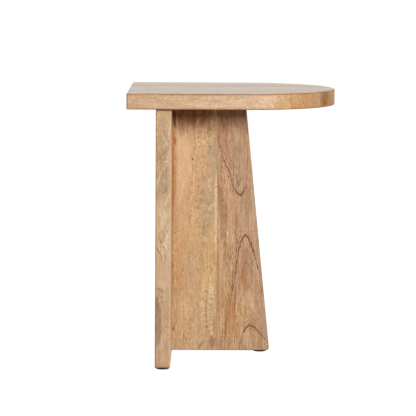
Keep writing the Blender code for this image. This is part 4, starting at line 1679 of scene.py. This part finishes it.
class SIDETABLE_OT_end_panel(Operator):
    """Builds the five upright boards of the end panel"""

    bl_idname = "side_table.end_panel"
    bl_label = "End Panel"

    def execute(self, context):
        sizes = context.scene.side_table.sizes
        low, high = box_of(END_BOARDS)
        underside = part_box(TOP_BOARDS[0])[0].z
        height = underside - low.z
        blank = height + SAW_ALLOWANCE
        half_top, half_foot = sizes.end_panel_top_depth / 2, sizes.end_panel_foot_depth / 2
        half_blank = half_foot + (half_top - half_foot) * blank / (high.z - low.z)
        upper = [Vector((half_blank, blank)), Vector((-half_blank, blank))]
        left, right = Vector((-half_foot, 0)), Vector((half_foot, 0))
        radius, steps = sizes.foot_corner_radius, sizes.corner_steps
        feet = fillet(upper[1], left, right, radius, steps) + fillet(left, right, upper[0], radius, steps)
        origin = ((low.x + high.x) / 2, 0, low.z)
        place = panel_frame(origin, (0, 1, 0), (0, 0, 1), (1, 0, 0))
        outline = outline_object("end_panel_outline", upper + feet, place)
        spans = board_spans(END_BOARDS, Y_AXIS)
        saws = [((start, -SAW_REACH, -SAW_REACH), (end, height, SAW_REACH)) for start, end in spans]
        thickness = high.x - low.x
        radius = sizes.panel_edge_radius
        add_boards(END_BOARDS, outline, saws, spans, thickness, radius, END_LOOKS, UPRIGHT_END_PANEL)
        return {"FINISHED"}


class SIDETABLE_OT_centre_panel(Operator):
    """Builds the two upright boards of the centre panel"""

    bl_idname = "side_table.centre_panel"
    bl_label = "Centre Panel"

    def execute(self, context):
        sizes = context.scene.side_table.sizes
        low, high = box_of(CENTRE_BOARDS)
        joint = box_of(END_BOARDS)[1].x
        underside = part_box(TOP_BOARDS[0])[0].z
        height = underside - low.z
        blank = height + SAW_ALLOWANCE
        foot = sizes.centre_panel_foot_length
        reach = foot + (sizes.centre_panel_top_length - foot) * blank / (high.z - low.z)
        upper = [Vector((reach, blank)), Vector((-SAW_ALLOWANCE, blank))]
        inner, outer = Vector((-SAW_ALLOWANCE, 0)), Vector((foot, 0))
        rounded = fillet(inner, outer, upper[0], sizes.foot_corner_radius, sizes.corner_steps)
        place = panel_frame((joint, 0, low.z), (1, 0, 0), (0, 0, 1), (0, -1, 0))
        outline = outline_object("centre_panel_outline", [*upper, inner, *rounded], place)
        spans = board_spans(CENTRE_BOARDS, X_AXIS)
        saws = [
            ((max(start - joint, 0.0), -SAW_REACH, -SAW_REACH), (end - joint, height, SAW_REACH))
            for start, end in spans
        ]
        thickness = high.y - low.y
        radius = sizes.panel_edge_radius
        add_boards(CENTRE_BOARDS, outline, saws, spans, thickness, radius, CENTRE_LOOKS, UPRIGHT_CENTRE_PANEL)
        return {"FINISHED"}


class SIDETABLE_OT_dowels(Operator):
    """Builds the fluted dowels inside the joints"""

    bl_idname = "side_table.dowels"
    bl_label = "Dowels"

    def execute(self, context):
        settings = context.scene.side_table
        group = dowel_group()
        material = dowel_material(settings.colours)
        for node in DOWELS:
            place, radius, length = dowel_frame(node)
            helper = bpy.data.objects.new("dowel_helper", bpy.data.meshes.new("dowel_helper"))
            helper.matrix_world = place
            link(helper)
            values = {
                "Radius": radius,
                "Length": length,
                "Chamfer": settings.sizes.dowel_chamfer,
                "Flutes": settings.sizes.dowel_flutes,
                "Flute Depth": settings.sizes.flute_depth,
                "Material": material,
            }
            add_piece(node, "fluted", run_group(helper, group, values), material)
            bpy.data.objects.remove(helper)
        return {"FINISHED"}


class SIDETABLE_OT_foot_pads(Operator):
    """Builds the felt pads under the feet"""

    bl_idname = "side_table.foot_pads"
    bl_label = "Foot Pads"

    def execute(self, context):
        settings = context.scene.side_table
        material = felt_material(settings.colours)
        for node in FOOT_PADS:
            add_piece(node, "felt", pad_mesh(node, settings.sizes), material)
        return {"FINISHED"}


# The floor: its rings and sides, how far from the table its glow grows, and how strong it is far away
FLOOR_RADIUS = 40.0
FLOOR_RINGS = 12
FLOOR_SIDES = 64
GLOW_RISE = (0.4, 1.3)
FAR_GLOW = 1.02

# Where the photo's camera stands, what it looks at, its roll, the width of its sensor in millimetres and how
# far it sees, and where the lamps aim
CAMERA_PLACE = Vector((-0.03624, -4.30635, 0.79856))
CAMERA_AIM = Vector((-0.0458, -0.17, 0.30412))
CAMERA_ROLL = 0.00467
SENSOR_WIDTH = 36.0
VIEW_END = 200.0
AIM_OF_LAMPS = Vector((-0.02, 0.0, 0.28))


class Lamp(NamedTuple):
    """An area lamp: the setting with its power, where it stands and how large it is.

    Its azimuth is counted in degrees from the front to the right, and its elevation from the floor.
    """

    power: str
    azimuth: float
    elevation: float
    distance: float
    width: float
    height: float


LAMPS = {
    "key_lamp": Lamp("key_power", 25, 16.8, 3.0, 0.8, 0.62),
    "left_lamp": Lamp("left_power", -105, 11, 3.0, 1.6, 1.2),
    "right_lamp": Lamp("right_power", 105, 11, 3.0, 1.6, 1.2),
    "rear_left_lamp": Lamp("rear_power", -150, 12, 3.0, 1.6, 1.2),
    "rear_right_lamp": Lamp("rear_power", 150, 12, 3.0, 1.6, 1.2),
    "top_lamp": Lamp("top_power", 0, 80, 2.6, 1.8, 1.8),
}


def add_lamp(name, lamp, power):
    """Adds a lamp that shines at the table.

    The lacquer shows the white room and not the lamp, so its sheen is even from every side.
    """
    data = bpy.data.lights.new(name, "AREA")
    data.shape = "RECTANGLE"
    data.size = lamp.width
    data.size_y = lamp.height
    data.energy = power
    turn, lift = math.radians(lamp.azimuth), math.radians(lamp.elevation)
    away = Vector((math.sin(turn) * math.cos(lift), -math.cos(turn) * math.cos(lift), math.sin(lift)))
    obj = bpy.data.objects.new(name, data)
    obj.location = AIM_OF_LAMPS + away * lamp.distance
    obj.rotation_euler = (-away).to_track_quat("-Z", "Y").to_euler()
    obj.visible_glossy = False
    link(obj)


def add_camera(lens):
    """Adds the camera that took the photo."""
    data = bpy.data.cameras.new("photo_camera")
    data.lens = lens
    data.sensor_width = SENSOR_WIDTH
    data.clip_end = VIEW_END
    camera = bpy.data.objects.new("photo_camera", data)
    camera.location = CAMERA_PLACE
    turn = (CAMERA_AIM - CAMERA_PLACE).to_track_quat("-Z", "Y").to_matrix()
    camera.rotation_euler = (turn @ Matrix.Rotation(CAMERA_ROLL, 3, "Z")).to_euler()
    return link(camera)


def floor_mesh():
    """A round floor whose rings lie closer together under the table."""
    shape = bmesh.new()
    turns = [math.tau * side / FLOOR_SIDES for side in range(FLOOR_SIDES)]
    rings = []
    for ring in range(1, FLOOR_RINGS + 1):
        radius = FLOOR_RADIUS * (ring / FLOOR_RINGS) ** 2
        places = [(radius * math.cos(turn), radius * math.sin(turn), 0) for turn in turns]
        rings.append([shape.verts.new(place) for place in places])
    shape.faces.new(rings[0])
    for inner, outer in zip(rings, rings[1:]):
        for index in range(FLOOR_SIDES):
            following = (index + 1) % FLOOR_SIDES
            shape.faces.new((inner[index], outer[index], outer[following], inner[following]))
    return mesh_of(shape, "studio_floor")


def shown_directly(tree):
    """Is 1 for rays from the camera, and for those that a glossy or clear surface shows."""
    path = tree.add("ShaderNodeLightPath", None, None, "Is Camera Ray").socket.node
    names = ("Is Camera Ray", "Is Glossy Ray", "Is Transmission Ray")
    camera, glossy, clear = (Wire(tree, path.outputs[name]) for name in names)
    return tree.maths("MAXIMUM", camera, tree.maths("MAXIMUM", glossy, clear))


def floor_material(colours, glow):
    """A matt pale floor, lifted to white where it is looked at."""
    material = bpy.data.materials.new("studio_floor")
    tree = empty_tree(material)
    matt = tree.add("ShaderNodeBsdfDiffuse", None, {"Color": colours.floor[:], "Roughness": 0.0})
    place = tree.add("ShaderNodeTexCoord", None, None, "Object")
    white = glow + tree.rise(tree.length(place), *GLOW_RISE) * (FAR_GLOW - glow)
    lifted = tree.add("ShaderNodeEmission", None, {"Color": shown_directly(tree) * white, "Strength": 1.0})
    tree.end_material(tree.add("ShaderNodeAddShader", None, {0: matt, 1: lifted}))
    return material


def room_world(level):
    """Even light of this level from all round, and a white backdrop where the room is seen directly."""
    world = bpy.data.worlds.new("studio_room")
    tree = empty_tree(world)
    light = tree.add("ShaderNodeBackground", None, {"Color": (1, 1, 1), "Strength": level})
    backdrop = tree.add("ShaderNodeBackground", None, {"Color": (1, 1, 1), "Strength": 1.0})
    surface = tree.add("ShaderNodeMixShader", None, {0: shown_directly(tree), 1: light, 2: backdrop})
    tree.add("ShaderNodeOutputWorld", None, {"Surface": surface})
    return world


class SIDETABLE_OT_stage(Operator):
    """Sets up the floor, the room, the lamps and the camera"""

    bl_idname = "side_table.stage"
    bl_label = "Stage"

    def execute(self, context):
        settings = context.scene.side_table
        studio = settings.studio
        floor = link(bpy.data.objects.new("studio_floor", floor_mesh()))
        floor.data.materials.append(floor_material(settings.colours, studio.floor_glow))
        context.scene.world = room_world(studio.room_level)
        for name, lamp in LAMPS.items():
            add_lamp(name, lamp, getattr(studio, lamp.power))
        context.scene.camera = add_camera(studio.lens)
        context.scene.view_settings.view_transform = "Standard"
        return {"FINISHED"}


OPERATORS = (
    SIDETABLE_OT_stage,
    SIDETABLE_OT_top,
    SIDETABLE_OT_end_panel,
    SIDETABLE_OT_centre_panel,
    SIDETABLE_OT_dowels,
    SIDETABLE_OT_foot_pads,
)


class SIDETABLE_PT_panel(Panel):
    """Lists the parts of the table that can be built"""

    bl_idname = "SIDETABLE_PT_panel"
    bl_label = "Side Table"
    bl_space_type = "VIEW_3D"
    bl_region_type = "UI"
    bl_category = "Side Table"

    def draw(self, context):
        settings = context.scene.side_table
        column = self.layout.column()
        for operator in OPERATORS:
            column.operator(operator.bl_idname)
        for group in (settings.sizes, settings.colours, settings.studio):
            column.separator()
            for name in group.__annotations__:
                column.prop(group, name)


CLASSES = (
    SIDETABLE_PG_sizes,
    SIDETABLE_PG_colours,
    SIDETABLE_PG_studio,
    SIDETABLE_PG_settings,
    *OPERATORS,
    SIDETABLE_PT_panel,
)


def register():
    for cls in CLASSES:
        bpy.utils.register_class(cls)
    bpy.types.Scene.side_table = PointerProperty(type=SIDETABLE_PG_settings)


def unregister():
    del bpy.types.Scene.side_table
    for cls in reversed(CLASSES):
        bpy.utils.unregister_class(cls)


def main():
    register()
    for obj in [obj for obj in bpy.data.objects if obj.name in ("Cube", "Light", "Camera")]:
        bpy.data.objects.remove(obj)
    bpy.ops.side_table.stage()
    bpy.ops.side_table.top()
    bpy.ops.side_table.end_panel()
    bpy.ops.side_table.centre_panel()
    bpy.ops.side_table.dowels()
    bpy.ops.side_table.foot_pads()


if __name__ == "__main__":
    main()
